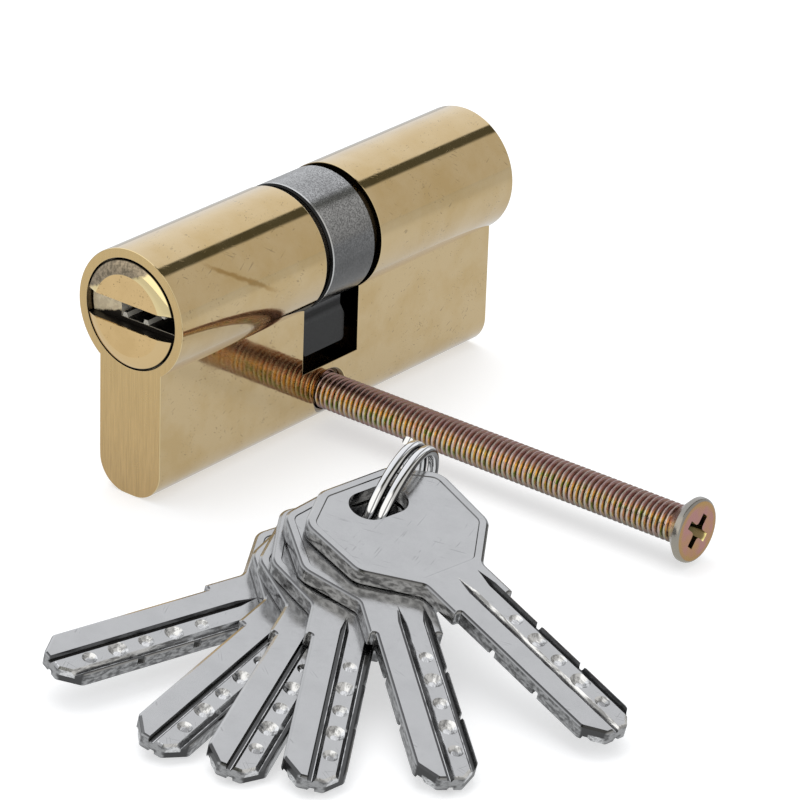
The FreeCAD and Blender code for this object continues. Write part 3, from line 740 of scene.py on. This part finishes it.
def zinc(name):
    """Yellow passivated zinc: pale crests, gold flanks with rose and green drifts, and painted shade in the
    roots, on top and underneath; on the head, painted shade in the recess with a painted glint, and a rim
    painted lighter below than above.
    """
    s = Shader(name)
    along = s.along("X")
    radius = s.radius_about("X", SCREW_AXIS)
    height = s.part("Z", s.vector("SUBTRACT", s.place, SCREW_AXIS))
    elsewhere = s.vector("ADD", s.place, (40.0, 0.0, 0.0))
    root = THREAD_R - THREAD_DEPTH
    flank = s.layers(FLANK_GOLD, (s.span(s.noise(0.8, 2.0, 0.6), 0.48, 0.58), FLANK_COPPER),
                     (s.span(s.noise(0.6, 2.0, 0.5, elsewhere), 0.56, 0.63), FLANK_GREEN),
                     (s.span(s.size(height), 0.8, 1.8, 0.0, 0.75), FLANK_ROSE))
    crest = s.mix(s.span(s.noise(1.1, 2.0, 0.6, elsewhere), 0.42, 0.56), CREST_PALE, CREST_PINK)
    # Painted shade: the thread's roots are near black under the flanks and crests.
    on_flank = s.span(radius, root + 0.03, root + 0.2)
    on_crest = s.span(radius, THREAD_R - 0.1, THREAD_R - 0.03)
    # Painted shade: the thread grows darker towards its top.
    above = s.times(s.span(height, 1.0, 2.2, 0.0, 0.75), s.span(radius, root, THREAD_R, 0.8, 1.0))
    # Painted shade: the thread grows darker underneath, its tone changing along the shank.
    below = s.span(height, 0.2, -2.0, 0.0, 0.9)
    under = s.mix(s.span(along, 20.0, 38.0), THREAD_UNDER_SHADE, THREAD_UNDER_SHADE_FAR)

    on_side = s.times(s.span(radius, HEAD_R - 0.7, HEAD_R - 0.3), s.span(along, CONE_END - 1.0, CONE_END))
    # Painted light and shade: the head's rim is lighter below and darker above.
    side = s.mix(s.span(height, -2.5, 3.5), HEAD_SIDE_LIT_LOW, HEAD_SIDE_SHADED_HIGH)
    # Painted shade in the cross recess, near black deep down, with a painted glint at the ends of its arms.
    in_recess = s.times(s.span(along, HEAD_TOP - 2.5, HEAD_TOP - 2.4),
                        s.span(radius, THREAD_R + 0.1, THREAD_R + 0.05))
    recess_shade_and_glint = s.layers(RECESS_DEEP_SHADE, (s.span(radius, 0.4, 1.6), RECESS_WALL_SHADE),
                     (s.span(radius, RECESS_SPAN - 0.2, RECESS_SPAN - 0.1), RECESS_PAINTED_GLINT))
    on_face = s.times(s.span(s.normal("X"), 0.9, 0.98), s.span(along, HEAD_TOP - 0.3, HEAD_TOP - 0.2))
    face = s.layers(HEAD_AMBER, (s.span(s.noise(0.35, 2.0), 0.36, 0.60), HEAD_ROSE),
                    (s.span(radius, HEAD_R - 1.0, HEAD_R - 0.7, 0.0, 0.7), HEAD_BORDER))
    colour = s.layers(THREAD_ROOT_SHADE, (on_flank, flank), (on_crest, crest), (above, THREAD_TOP_SHADE), (below, under),
                      (on_side, side), (in_recess, recess_shade_and_glint), (on_face, face))
    return s.surface(Base_Color=colour, Metallic=1.0, Normal=s.bump(s.noise(5.0, 3.0), 0.012, 0.4),
                     Roughness=s.span(s.noise(2.5, 3.0), 0.3, 0.7, 0.16, 0.3))


def nickel(name):
    """The keys' nickel plate: even flat faces, outlined by painted shade and painted reflection on the
    edges, with channels and dimples painted in streaks of shade and light.
    """
    s = Shader(name, KEY_PLACE)
    across, height = s.along("Y"), s.along("Z")
    depth = s.minus(KEY_HALF_T, s.size(height))
    colour = s.mix(s.span(s.noise(0.3, 4.0, 0.6), 0.4, 0.65), grey(0.575), grey(0.545))
    scratches = scratch_mask(s, [(0, 0, 25), (0, 0, -50)])
    colour = s.mix(s.times(scratches, 0.3), colour, grey(0.25))
    # Painted shade and painted reflection on the edges: a dark line at the faces' border, grey chamfers, and
    # dark sides streaked lighter.
    streaks = s.span(s.noise(1.0, 2.0, 0.6, s.stretched((1.1, 1.1, 2.2))), 0.40, 0.60)
    edge = s.mix(s.span(depth, 0.2, 0.26), grey(0.40), s.mix(streaks, grey(0.17), grey(0.46)))
    edge = s.mix(s.span(depth, 0.13, 0.09), edge, grey(0.17))
    # Painted shade and light in the channels and dimples: light streaks on mid grey, and the steep outer
    # wall of each channel near black.
    from_row = s.size(s.minus(s.times(across, s.math("SIGN", height)), ROW_OFFSET))
    lit = s.span(s.noise(0.9, 3.0, 0.7, s.stretched((0.35, 1.5, 1.5))), 0.40, 0.56)
    groove = s.mix(s.span(from_row, GROOVE_NEAR + 0.52, GROOVE_NEAR + 0.6),
                   s.mix(lit, grey(0.30), grey(0.92)), grey(0.10))
    dimple = s.mix(lit, grey(0.35), grey(0.85))
    cut = s.mix(s.span(from_row, GROOVE_NEAR - 0.25, GROOVE_NEAR - 0.15), dimple, groove)
    neck = KEY_REACH - KEY_TIP
    on_blade = s.times(s.span(s.size(across), BLADE_HALF - 0.08, BLADE_HALF - 0.2),
                       s.span(s.along("X"), neck - 1.5, neck - 1.0),
                       s.span(s.along("X"), KEY_REACH - 0.1, KEY_REACH - 0.3))
    sunk = s.most(s.span(s.size(s.normal("Z")), 0.93, 0.88), s.span(depth, 0.14, 0.18))
    colour = s.mix(sunk, colour, s.mix(on_blade, edge, cut))
    bump = s.bump(s.outside(scratches), 0.006, 0.5, s.bump(s.noise(1.1, 3.0), 0.02, 0.3))
    return s.surface(Base_Color=colour, Metallic=1.0, Normal=bump,
                     Roughness=s.span(s.noise(1.6, 4.0), 0.35, 0.7, 0.15, 0.24))


def chrome(name):
    """The ring's bright plate, with a painted reflection streaked dark along the sides of its wire."""
    s = Shader(name, RING_PLACE)
    across = s.along("Y")
    wobble = s.times(s.noise(1.0, 2.0, 0.5, s.stretched((0.3, 0.01, 0.01))), 0.2)
    # Painted reflection: the wire is coloured bright along its middle and near black along its sides, with a
    # dark line just off the middle.
    colour = s.mix(s.span(s.minus(s.size(across), wobble), 0.52, 0.62), grey(0.88), grey(0.07))
    line = s.span(s.size(s.plus(across, s.minus(wobble, 0.25))), 0.12, 0.05)
    colour = s.mix(s.times(line, 0.85), colour, grey(0.08))
    return s.surface(Base_Color=colour, Metallic=1.0,
                     Roughness=s.span(s.noise(1.6, 4.0), 0.35, 0.7, 0.06, 0.12))


def steel(name, level, rough):
    """Plain drawn or machined steel."""
    s = Shader(name)
    cloud = s.noise(1.2, 3.0)
    return s.surface(Base_Color=s.mix(s.span(cloud, 0.35, 0.7), grey(level), grey(0.75 * level)),
                     Metallic=1.0, Normal=s.bump(s.noise(6.0, 2.0), 0.01, 0.3),
                     Roughness=s.span(cloud, 0.3, 0.7, rough, rough + 0.12))


BODY_BRASS = brass("body_brass", (0.70, 0.525, 0.275), (0.645, 0.46, 0.205))
PLUG_BRASS = brass("plug_brass", (0.88, 0.62, 0.30), (0.78, 0.54, 0.25), body=False)
PIN_BRASS = brass("pin_brass", (0.80, 0.55, 0.20), (0.70, 0.45, 0.15), body=False)
CAM_STEEL = sintered("cam_sintered_steel", 0.53, 0.21)
CLUTCH_STEEL = steel("clutch_steel", 0.50, 0.3)
SPRING_STEEL = steel("spring_steel", 0.60, 0.22)
YELLOW_ZINC = zinc("yellow_zinc")
KEY_NICKEL = nickel("key_nickel")
RING_CHROME = chrome("ring_chrome")


# Pieces

def dress(obj, body, nodes, material):
    """Give a piece its finish and its body, and hide the CAD nodes it stands for."""
    obj.data.materials.clear()
    obj.data.materials.append(material)
    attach(obj, body)
    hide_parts(*nodes)


def profile_outline():
    """Outline of the Euro profile, as (x, z)."""
    join = math.degrees(math.asin(FLANGE_HALF / BARREL_R))
    barrel = arc_points(0, 0, BARREL_R, join - 90, 270 - join, 200)
    edge = FLANGE_EDGE_R
    left = arc_points(edge - FLANGE_HALF, FLANGE_FOOT + edge, edge, 180, 270, 20)
    right = arc_points(FLANGE_HALF - edge, FLANGE_FOOT + edge, edge, 270, 360, 20)
    return barrel + left + right


def mirrored(half):
    """An outline that is alike on both sides of 0, from its half that runs inwards."""
    return [(radius, -along) for radius, along in half] + half[::-1]


def make_body():
    """The housing, with bored plug holes, cam slot, cross hole and pin chambers."""
    body = prism("lock_body", profile_outline(), FRONT, REAR)
    front_step, rear_step = FRONT + HEAD_BORE_DEPTH, REAR - HEAD_BORE_DEPTH
    bore = [(HEAD_BORE_R, FRONT - OVER), (HEAD_BORE_R, front_step), (BORE_R, front_step),
            (BORE_R, rear_step), (HEAD_BORE_R, rear_step), (HEAD_BORE_R, REAR + OVER)]
    mouth_end = FLANGE_HALF - (CROSS_MOUTH_R - CROSS_HOLE_R)
    cross = mirrored([(CROSS_MOUTH_R, FLANGE_HALF + OVER), (CROSS_MOUTH_R, FLANGE_HALF),
                      (CROSS_HOLE_R, mouth_end)])
    combine(body, [
        block("slot", (-THROUGH, -SLOT_HALF, SLOT_FLOOR), (THROUGH, SLOT_HALF, THROUGH)),
        turned("bore", bore, "y", PLUG_FACETS),
        turned("cross_hole", cross, "x", HOLE_FACETS, SCREW_AXIS),
    ])
    soften(body, BODY_BEVEL, outward_only=True)
    holes = []
    for place in PIN_PLACES:
        for at in ((0, FRONT + place, 0), (0, REAR - place, 0)):
            holes.append(rod("chamber", CHAMBER_R, CAP_TOP, 0, "z", CHAMBER_FACETS, at))
            holes.append(rod("cap_hole", CAP_HOLE_R, FLANGE_FOOT - OVER, CAP_TOP, "z", CHAMBER_FACETS, at))
    combine(body, holes)
    finish_shading(body)
    dress(body, "root", ["body"], BODY_BRASS)


def ward(half_top, height):
    """Outline of one ward that stands on z = 0, as (x, z)."""
    return [(-WARD_HALF_FOOT, 0), (-half_top, height), (half_top, height), (WARD_HALF_FOOT, 0)]


def keyway_outline():
    """Outline of the keyway, as (x, z): the ward over the pin row leaves room for the raised pins."""
    full = ward(WARD_HALF_TOP, WARD_H)
    over_pins = ward(INNER_WARD_HALF_TOP, INNER_WARD_H)
    points = [(KEYWAY_LEFT, -KEYWAY_HALF_H)]
    for centre in (-WARD_SPREAD, WARD_SPREAD):
        points += [(centre + u, v - KEYWAY_HALF_H) for u, v in full]
    points += [(KEYWAY_RIGHT, -KEYWAY_HALF_H), (KEYWAY_RIGHT, KEYWAY_HALF_H)]
    for centre, shape in ((PIN_ROW_TOP + WARD_SPREAD, full), (PIN_ROW_TOP - WARD_SPREAD, over_pins)):
        points += [(centre - u, KEYWAY_HALF_H - v) for u, v in shape]
    return points + [(KEYWAY_LEFT, KEYWAY_HALF_H)]


def make_plug(name, side):
    """One plug: bevelled face, guide slot, keyway, pin holes, clip groove and tail slot."""
    face = PLUG_LOW.y
    head_end = FRONT + PLUG_HEAD_DEPTH
    slot_end = face + GUIDE_SLOT_DEPTH
    keyway_end = slot_end + KEYWAY_LENGTH
    plug = turned(name, [
        (PLUG_FACE_R, face), (PLUG_HEAD_R, FRONT), (PLUG_HEAD_R, head_end), (PLUG_R, head_end),
        (PLUG_R, -SLOT_HALF), (CLIP_GROOVE_R, -SLOT_HALF), (CLIP_GROOVE_R, CLIP_GROOVE_END),
        (PLUG_TAIL_R, CLIP_GROOVE_END), (PLUG_TAIL_R, PLUG_TAIL_END)], "y", PLUG_FACETS)
    combine(plug, [block("guide_slot", (-THROUGH, face - OVER, -GUIDE_SLOT_HALF),
                         (THROUGH, slot_end, GUIDE_SLOT_HALF))])
    soften(plug, PLUG_BEVEL)
    combine(plug, [prism("keyway", keyway_outline(), face + GUIDE_SLOT_DEPTH / 2, keyway_end)])
    soften(plug, KEYWAY_BEVEL, 1, 60)
    holes = [rod("pin_hole", CHAMBER_R, -THROUGH, 0, "z", PIN_HOLE_FACETS, (0, FRONT + place, 0))
             for place in PIN_PLACES]
    holes.append(block("tail_slot", (-THROUGH, PLUG_TAIL_END - TAIL_SLOT_DEPTH, -TAIL_SLOT_HALF),
                       (THROUGH, 0, TAIL_SLOT_HALF)))
    holes.append(rod("stem_hole", STEM_HOLE_R, keyway_end - STEM_HOLE_LEAD, 0, "y", HOLE_FACETS))
    combine(plug, holes)
    if side == "rear":
        plug.data.transform(Matrix.Rotation(math.pi, 4, "Z"))
    finish_shading(plug)
    dress(plug, side + "_plug", [side + "_plug"], PLUG_BRASS)


def coil_height(turn, reach):
    """Height of the wire's middle after some turns: the first and the last turn lie closed."""
    open_turns = SPRING_TURNS - 2
    pitch = (reach - 2 * SPRING_CLOSED_LEAD) / open_turns
    closed = min(turn, 1) + max(turn - SPRING_TURNS + 1, 0)
    return SPRING_CLOSED_LEAD * closed + pitch * min(max(turn - 1, 0), open_turns)


def coil_mesh(name, low, high):
    """A wound spring that fills the space from low to high, standing along Z."""
    foot = ((low.x + high.x) / 2, (low.y + high.y) / 2, low.z + SPRING_WIRE_R)
    radius = (high.x - low.x) / 2 - SPRING_WIRE_R
    reach = high.z - low.z - 2 * SPRING_WIRE_R
    steps = SPRING_STEPS * SPRING_TURNS
    loops = []
    for i in range(steps + 1):
        turn = SPRING_TURNS * i / steps
        loop = wire_loop(radius, 2 * math.pi * turn, coil_height(turn, reach), SPRING_WIRE_R, SPRING_WIRE_R,
                         SPRING_WIRE_SIDES)
        loops.append(shifted(loop, foot))
    return loft(name, loops)


def make_pin_springs():
    """The pin springs: each is wound to fill its CAD node's box, and its foot stands on the cap."""
    for side in ("front", "rear"):
        for number in range(1, PIN_COUNT + 1):
            node = "%s_spring_%d" % (side, number)
            low, high = box_mm(node)
            spring = coil_mesh(node + "_wound", low, high)
            finish_shading(spring, 60)
            spring.data.materials.append(SPRING_STEEL)
            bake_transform(spring)
            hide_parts(node)


def make_cam():
    """The cam: ring with a web inside, and the lever."""
    ring = mirrored([(CAM_R - CAM_CHAMFER, CAM_HALF), (CAM_R, CAM_HALF - CAM_CHAMFER)])
    cam = turned("cam_ring", ring, "y", CAM_FACETS)
    step_foot = LEVER_STEP_TOP - LEVER_STEP_H
    lever = [(-LEVER_HALF_W, 0), (LEVER_NECK_HALF, 0), (LEVER_NECK_HALF, LEVER_STEP_TOP),
             (LEVER_HALF_W, step_foot), (LEVER_HALF_W, LEVER_FOOT), (-LEVER_HALF_W, LEVER_FOOT)]
    lever = rounded(lever, LEVER_CORNER_RADII)
    combine(cam, [prism("lever", lever, -LEVER_HALF_T, LEVER_HALF_T, "x")], "UNION")
    bore = mirrored([(CAM_BORE_R, THROUGH), (CAM_BORE_R, CAM_WEB_HALF), (CAM_WEB_R, CAM_WEB_HALF)])
    combine(cam, [turned("cam_bore", bore, "y", CAM_BORE_FACETS),
                  block("web_slot", (-WEB_SLOT_REACH, -WEB_SLOT_HALF, -TAIL_SLOT_HALF),
                        (WEB_SLOT_REACH, WEB_SLOT_HALF, TAIL_SLOT_HALF))])
    soften(cam, CAM_BEVEL)
    finish_shading(cam)
    dress(cam, "cam", ["cam"], CAM_STEEL)


def thread_radius(x, angle):
    """Radius of the threaded shank at a place along it and round it."""
    phase = (x / THREAD_PITCH - angle / (2 * math.pi)) % 1.0
    ridge = abs(2 * phase - 1)
    height = min(1.0, max(0.0, (ridge - ROOT_SHARE) / FLANK_SHARE))
    height = height * height * (3 - 2 * height)
    return THREAD_R - THREAD_DEPTH * (1 - height)


def cross_outline(span, arm, corner):
    """Outline of a cross with hollow corners, as (y, z)."""
    points = []
    for quarter in range(4):
        turn = Matrix.Rotation(math.radians(90 * quarter + RECESS_TURN), 2)
        side = [(span, -arm), (span, arm)] + arc_points(arm + corner, arm + corner, corner, 270, 180, 5)
        points += [tuple(turn @ Vector(p)) for p in side]
    return points


def recess_cutter():
    """Tapered cutter for the screw's cross recess."""
    layers = [(x, cross_outline(*cross)) for x, *cross in RECESS_LAYERS]
    return stacked("recess", layers, "x", (HEAD_TOP, 0, SCREW_Z))


def make_screw():
    """The countersunk screw, threaded up to its head, with a cross recess."""
    cone_start = CONE_END - (HEAD_R - THREAD_R)
    thread_end = cone_start + THREAD_RUN_OUT
    steps = int((thread_end - SCREW_TIP) / THREAD_PITCH * LOOPS_PER_TURN)
    stations = [SCREW_TIP + (thread_end - SCREW_TIP) * i / steps for i in range(steps + 1)]
    stations += [thread_end + (CONE_END - thread_end) * i / 6 for i in range(1, 7)]
    angles = [2 * math.pi * k / SCREW_FACETS for k in range(SCREW_FACETS)]
    loops = []
    for x in stations:
        tip_r, cone_r = THREAD_R - SCREW_TIP_CHAMFER + (x - SCREW_TIP), THREAD_R + x - cone_start
        loops.append([turned_point(max(min(thread_radius(x, a), tip_r), cone_r), x, a, "x") for a in angles])
    edge = HEAD_EDGE_R
    for along, radius in arc_points(HEAD_TOP - edge, HEAD_R - edge, edge, 90, 0, 5):
        loops.append([turned_point(radius, along, a, "x") for a in angles])
    screw = loft("fixing_screw_threaded", [shifted(loop, SCREW_AXIS) for loop in loops])
    combine(screw, [recess_cutter()])
    finish_shading(screw, 42)
    dress(screw, "fixing_screw", ["fixing_screw"], YELLOW_ZINC)


def inset_outline(side, radii, inset=0.0):
    """An outline alike on both sides, moved inwards, its corners rounded to suit."""
    points = side + tuple((u, -v) for u, v in reversed(side))
    radii = radii + radii[::-1]
    count = len(points)
    moved, fitted = [], []
    for i in range(count):
        a, b, c = Vector(points[i - 1]), Vector(points[i]), Vector(points[(i + 1) % count])
        before, after = (b - a).normalized(), (c - b).normalized()
        hollow = before.x * after.y - before.y * after.x > 0
        n1, n2 = Vector((before.y, -before.x)), Vector((after.y, -after.x))
        normal = (n1 + n2).normalized()
        moved.append(tuple(b + normal * (inset / normal.dot(n1))))
        fitted.append(max(0.03, radii[i] + (inset if hollow else -inset)))
    return rounded(moved, fitted)


def bow_pocket():
    """Cutter for the bow's shallow dished face, with sloping sides."""
    side, radii = KEY_SIDE[:4], (BOW_CORNER_R,) * 4
    low = inset_outline(side, radii, POCKET_INSET + POCKET_SLOPE)
    top = inset_outline(side, radii, POCKET_INSET - POCKET_SLOPE * POCKET_RISE / POCKET_DEPTH)
    return stacked("bow_pocket", [(KEY_HALF_T - POCKET_DEPTH, low), (KEY_HALF_T + POCKET_RISE, top)])


def key_blank():
    """The flat blank with chamfered edges."""
    outer = inset_outline(KEY_SIDE, KEY_RADII)
    inner = inset_outline(KEY_SIDE, KEY_RADII, KEY_CHAMFER)
    low = KEY_HALF_T - KEY_CHAMFER * KEY_CHAMFER_SLOPE
    return stacked("key_blank", [(-KEY_HALF_T, inner), (-low, outer), (low, outer), (KEY_HALF_T, inner)])


def channel(side):
    """A milled channel beside the dimple row: steep outside, sloped inside, run out to a point."""
    middle = ROW_OFFSET + side * (GROOVE_NEAR + GROOVE_FAR) / 2
    half_w = side * (GROOVE_FAR - GROOVE_NEAR) / 2
    return loft("channel", [[(u, middle + across * half_w * wide, KEY_HALF_T - depth if low else GROOVE_TOP)
                             for across, low in GROOVE_SECTION] for u, depth, wide in GROOVE_STATIONS])


def key_cutters():
    """Cutters for one face of a key: the bow's pocket, two channels, dimples and side notches."""
    cutters = [bow_pocket(), channel(-1), channel(1)]
    rise = KEY_HALF_T + CUT_RISE
    for i, cut in enumerate(KEY_CUTS):
        u = FIRST_CUT + PIN_PITCH * i
        dimple = [(PIN_TIP_R, KEY_HALF_T - cut), (PIN_TIP_R + cut + CUT_RISE, rise)]
        cutters.append(turned("dimple", dimple, "z", DIMPLE_FACETS, (u, ROW_OFFSET, 0)))
        if i % 2:
            beside = (u - PIN_PITCH / 2, NOTCH_V, 0)
            cutters.append(rod("notch", NOTCH_R, 0, KEY_HALF_T + OVER, "z", NOTCH_FACETS, beside))
    return cutters


def make_key_mesh():
    """One reversible dimple key, eye centre at the origin, blade along +X."""
    key = key_blank()
    eye = (arc_points(EYE_U, EYE_HALF_SLOT, EYE_R, 0, 180, 24)
           + arc_points(EYE_U, -EYE_HALF_SLOT, EYE_R, 180, 360, 24))
    combine(key, [prism("eye", eye, -KEY_HALF_T - OVER, KEY_HALF_T + OVER, "z")])
    for turn in (0, math.pi):
        cutters = key_cutters()
        for cutter in cutters:
            cutter.data.transform(Matrix.Rotation(turn, 4, "X"))
        combine(key, cutters)
    key.data.transform(Matrix.Translation((-EYE_U * MM, 0, 0)))
    finish_shading(key, 30)
    keep_places(key, KEY_PLACE, [vertex.co for vertex in key.data.vertices])
    return key


def keep_places(obj, name, places):
    """Keep a place for each point of a mesh."""
    kept = obj.data.attributes.new(name, "FLOAT_VECTOR", "POINT")
    for item, place in zip(kept.data, places):
        item.vector = place


def bunch_tilt():
    """Slope of the stack where the ring's foot and the first tip meet the table."""
    slopes = []
    for height, bearing in zip(STACK, KEY_BEARINGS):
        run = KEY_REACH * math.cos(math.radians(bearing) - TILT_BEARING)
        rise = RING_D / 2 + height - KEY_HALF_T
        if run > RING_D:
            slopes.append(math.atan(rise / run))
    return min(slopes)


def ring_mesh():
    """Split ring of flattened wire, wound a little over two turns about its own Z axis."""
    steps = RING_STEPS * RING_QUARTERS
    half_w, half_h = RING_WIRE / 2, RING_WIRE / 2 * RING_WIDENING
    loops, places = [], []
    for i in range(steps + 1):
        angle = math.pi / 2 * RING_QUARTERS * i / steps
        drop = RING_QUARTERS * (1 / 8 - i / steps / 4) * RING_PITCH
        loops.append(wire_loop(RING_MEAN_R, angle, drop, half_w, half_h, RING_SIDES, RING_SQUARENESS))
        for k in range(RING_SIDES):
            around = 2 * math.pi * k / RING_SIDES
            places.append(Vector((angle * RING_MEAN_R, math.sin(around), math.cos(around))) * MM)
    ring = loft("split_ring", loops)
    keep_places(ring, RING_PLACE, places)
    return ring


def make_bunch():
    """The keys on their ring, in the pose of the CAD bunch."""
    slope = bunch_tilt()
    low, high = box_mm("key_ring")
    lift = (low.z + high.z) / 2 + math.cos(RING_BEARING - TILT_BEARING) * RING_MEAN_R * math.sin(slope)
    downhill = Vector((math.cos(TILT_BEARING), math.sin(TILT_BEARING), 0))
    tilt = Matrix.Rotation(slope, 4, Vector((0, 0, 1)).cross(downhill))
    place = Matrix.Translation(Vector((BUNCH_X, BUNCH_Y, lift)) * MM) @ tilt
    to_ring = Vector((math.cos(RING_BEARING), math.sin(RING_BEARING), 0))
    first = make_key_mesh()
    for i, (height, bearing) in enumerate(zip(STACK, KEY_BEARINGS)):
        inward = RING_MEAN_R - math.sqrt(RING_MEAN_R ** 2 - height ** 2)
        name = "key_%d" % (i + 1)
        key = linked("dimple_" + name, first.data.copy())
        shift = Matrix.Translation((to_ring * inward + Vector((0, 0, height))) * MM)
        key.data.transform(place @ shift @ Matrix.Rotation(math.radians(bearing), 4, "Z"))
        dress(key, name, [name], KEY_NICKEL)
    bpy.data.objects.remove(first)
    ring = ring_mesh()
    centred = Matrix.Rotation(-math.pi / 4 * RING_QUARTERS, 4, "Z")
    upright = Matrix.Translation((RING_MEAN_R * MM, 0, 0)) @ Matrix.Rotation(math.pi / 2, 4, "X")
    ring.data.transform(place @ Matrix.Rotation(RING_BEARING, 4, "Z") @ upright @ centred)
    finish_shading(ring, 60)
    dress(ring, "root", ["key_ring"], RING_CHROME)


def shade_nodes():
    """Materials for the CAD nodes that stay."""
    finishes = (("spring", SPRING_STEEL), ("circlip", SPRING_STEEL), ("pin", PIN_BRASS),
                ("coupler", CLUTCH_STEEL), ("caps", BODY_BRASS))
    for name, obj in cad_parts.items():
        for word, material in finishes:
            if word in name:
                obj.data.materials.clear()
                obj.data.materials.append(material)
                break


make_body()
make_plug("front_plug_turned", "front")
make_plug("rear_plug_turned", "rear")
make_pin_springs()
make_cam()
make_screw()
make_bunch()
shade_nodes()


# Studio, in metres

FLOOR_HALF = 3.0
FLOOR_GREY = (0.70, 0.70, 0.70, 1)
FLOOR_GLOW = 0.50
FLOOR_MIRRORED = (0.96, 0.98, 1.0, 1)
FLOOR_MIRRORED_SHARE = 0.75
# Its brightness in a mirror: from and to which distance in millimetres it falls, and between which values
FLOOR_FALL = (80, 160, 0.74, 0.60)
AMBIENT = (0.95, 0.97, 1.0, 1)
AMBIENT_STRENGTH = 0.72
FRONT_WINDOW = (1.13, 1.12, 1.09)
LIGHT_PLACE = (-0.25, 0.15, 0.9)
LIGHT_SIDE = 0.9
LIGHT_WATTS = 4.0

# What metal mirrors round the Y axis: degrees from straight up, and a colour
CEILING = ((-110, (0.80, 0.82, 0.86)), (-60, (0.95, 0.97, 1.0)), (3, (0.86, 0.87, 0.90)),
           (5.5, (0.09, 0.09, 0.07)), (20, (0.09, 0.09, 0.07)), (24, (0.61, 0.60, 0.58)),
           (85, (0.60, 0.59, 0.57)), (110, (0.62, 0.61, 0.59)))

AZIMUTH = math.radians(39.787)
ELEVATION = math.radians(23.286)
ROLL = math.radians(1.425)
DISTANCE = 0.5522
FOCAL_PX = 4344.6
AIM_RIGHT = 0.012316
AIM_UP = -0.02060
FRAME_PX = 800
SENSOR = 36.0


def make_floor():
    """A pale floor, white to the camera but for a soft shadow, and darker further off in a mirror."""
    far, z = FLOOR_HALF, FLANGE_FOOT * MM
    mesh = bpy.data.meshes.new("studio_floor")
    mesh.from_pydata([(-far, -far, z), (far, -far, z), (far, far, z), (-far, far, z)], [], [(0, 1, 2, 3)])
    floor = linked("studio_floor", mesh)
    s = Shader("studio_floor")
    pale = s.add("ShaderNodeBsdfDiffuse", {"Color": FLOOR_GREY})
    glow = s.add("ShaderNodeEmission", {"Strength": s.times(s.ray("Camera"), FLOOR_GLOW)})
    seen = s.add("ShaderNodeAddShader", {0: pale, 1: glow})
    distance = s.vector("LENGTH", s.place, output="Value")
    level = s.span(distance, *FLOOR_FALL, interpolation_type="SMOOTHSTEP")
    mirrored_floor = s.add("ShaderNodeEmission", {"Color": FLOOR_MIRRORED, "Strength": level})
    share = s.times(s.ray("Glossy"), FLOOR_MIRRORED_SHARE)
    s.add("ShaderNodeOutputMaterial", {0: s.either(share, seen, mirrored_floor)})
    mesh.materials.append(s.mat)


def make_world():
    """White to the camera; to metal, a bright ceiling with a dark gap and a dimmer warm side."""
    world = bpy.data.worlds.new("studio")
    bpy.context.scene.world = world
    world.use_nodes = True
    g = Graph(world.node_tree)
    direction = g.add("ShaderNodeTexCoord", {}, "Generated")
    angle = g.math("ARCTAN2", g.part("X", direction), g.part("Z", direction))
    ceiling = g.add("ShaderNodeValToRGB", {0: g.span(angle, -math.pi, math.pi)})
    elements = ceiling.node.color_ramp.elements
    elements.remove(elements[-1])
    for i, (degrees, colour) in enumerate(CEILING):
        position = (degrees + 180) / 360
        element = elements.new(position) if i else elements[0]
        element.position = position
        element.color = colour + (1,)
    in_front = g.span(g.part("Y", direction), -0.45, -0.55)
    mirror = g.add("ShaderNodeBackground", {"Color": g.mix(in_front, ceiling, FRONT_WINDOW)})
    ambient = g.add("ShaderNodeBackground", {"Color": AMBIENT, "Strength": AMBIENT_STRENGTH})
    white = g.add("ShaderNodeBackground", {"Color": (1, 1, 1, 1)})
    lit = g.either(g.ray("Glossy"), ambient, mirror)
    g.add("ShaderNodeOutputWorld", {0: g.either(g.ray("Camera"), lit, white)})


def make_light():
    """One large soft light overhead, aimed at the part and not mirrored."""
    data = bpy.data.lights.new("overhead", "AREA")
    data.shape = "RECTANGLE"
    data.size = data.size_y = LIGHT_SIDE
    data.energy = LIGHT_WATTS
    light = linked("overhead", data)
    light.location = LIGHT_PLACE
    light.rotation_euler = (-Vector(LIGHT_PLACE)).to_track_quat("-Z", "Y").to_euler()
    light.visible_glossy = False


def make_camera():
    """The photograph's viewpoint: a long lens above and to the right of the front face."""
    view = Matrix.Rotation(AZIMUTH, 3, "Z") @ Matrix.Rotation(math.pi / 2 - ELEVATION, 3, "X")
    right, up, back = (view @ Matrix.Rotation(ROLL, 3, "Z")).transposed()
    place = back * DISTANCE
    aim = right * AIM_RIGHT + up * AIM_UP
    z_axis = (place - aim).normalized()
    x_axis = (right - z_axis * right.dot(z_axis)).normalized()
    y_axis = z_axis.cross(x_axis)
    data = bpy.data.cameras.new("camera")
    data.sensor_width = SENSOR
    data.lens = FOCAL_PX * SENSOR / FRAME_PX
    data.clip_start = 0.01
    data.clip_end = 20
    camera = linked("camera", data)
    turn = Matrix((x_axis, y_axis, z_axis)).transposed().to_4x4()
    camera.matrix_world = Matrix.Translation(place) @ turn
    bpy.context.scene.camera = camera


make_floor()
make_world()
make_light()
make_camera()

bpy.context.scene.view_settings.view_transform = "Standard"
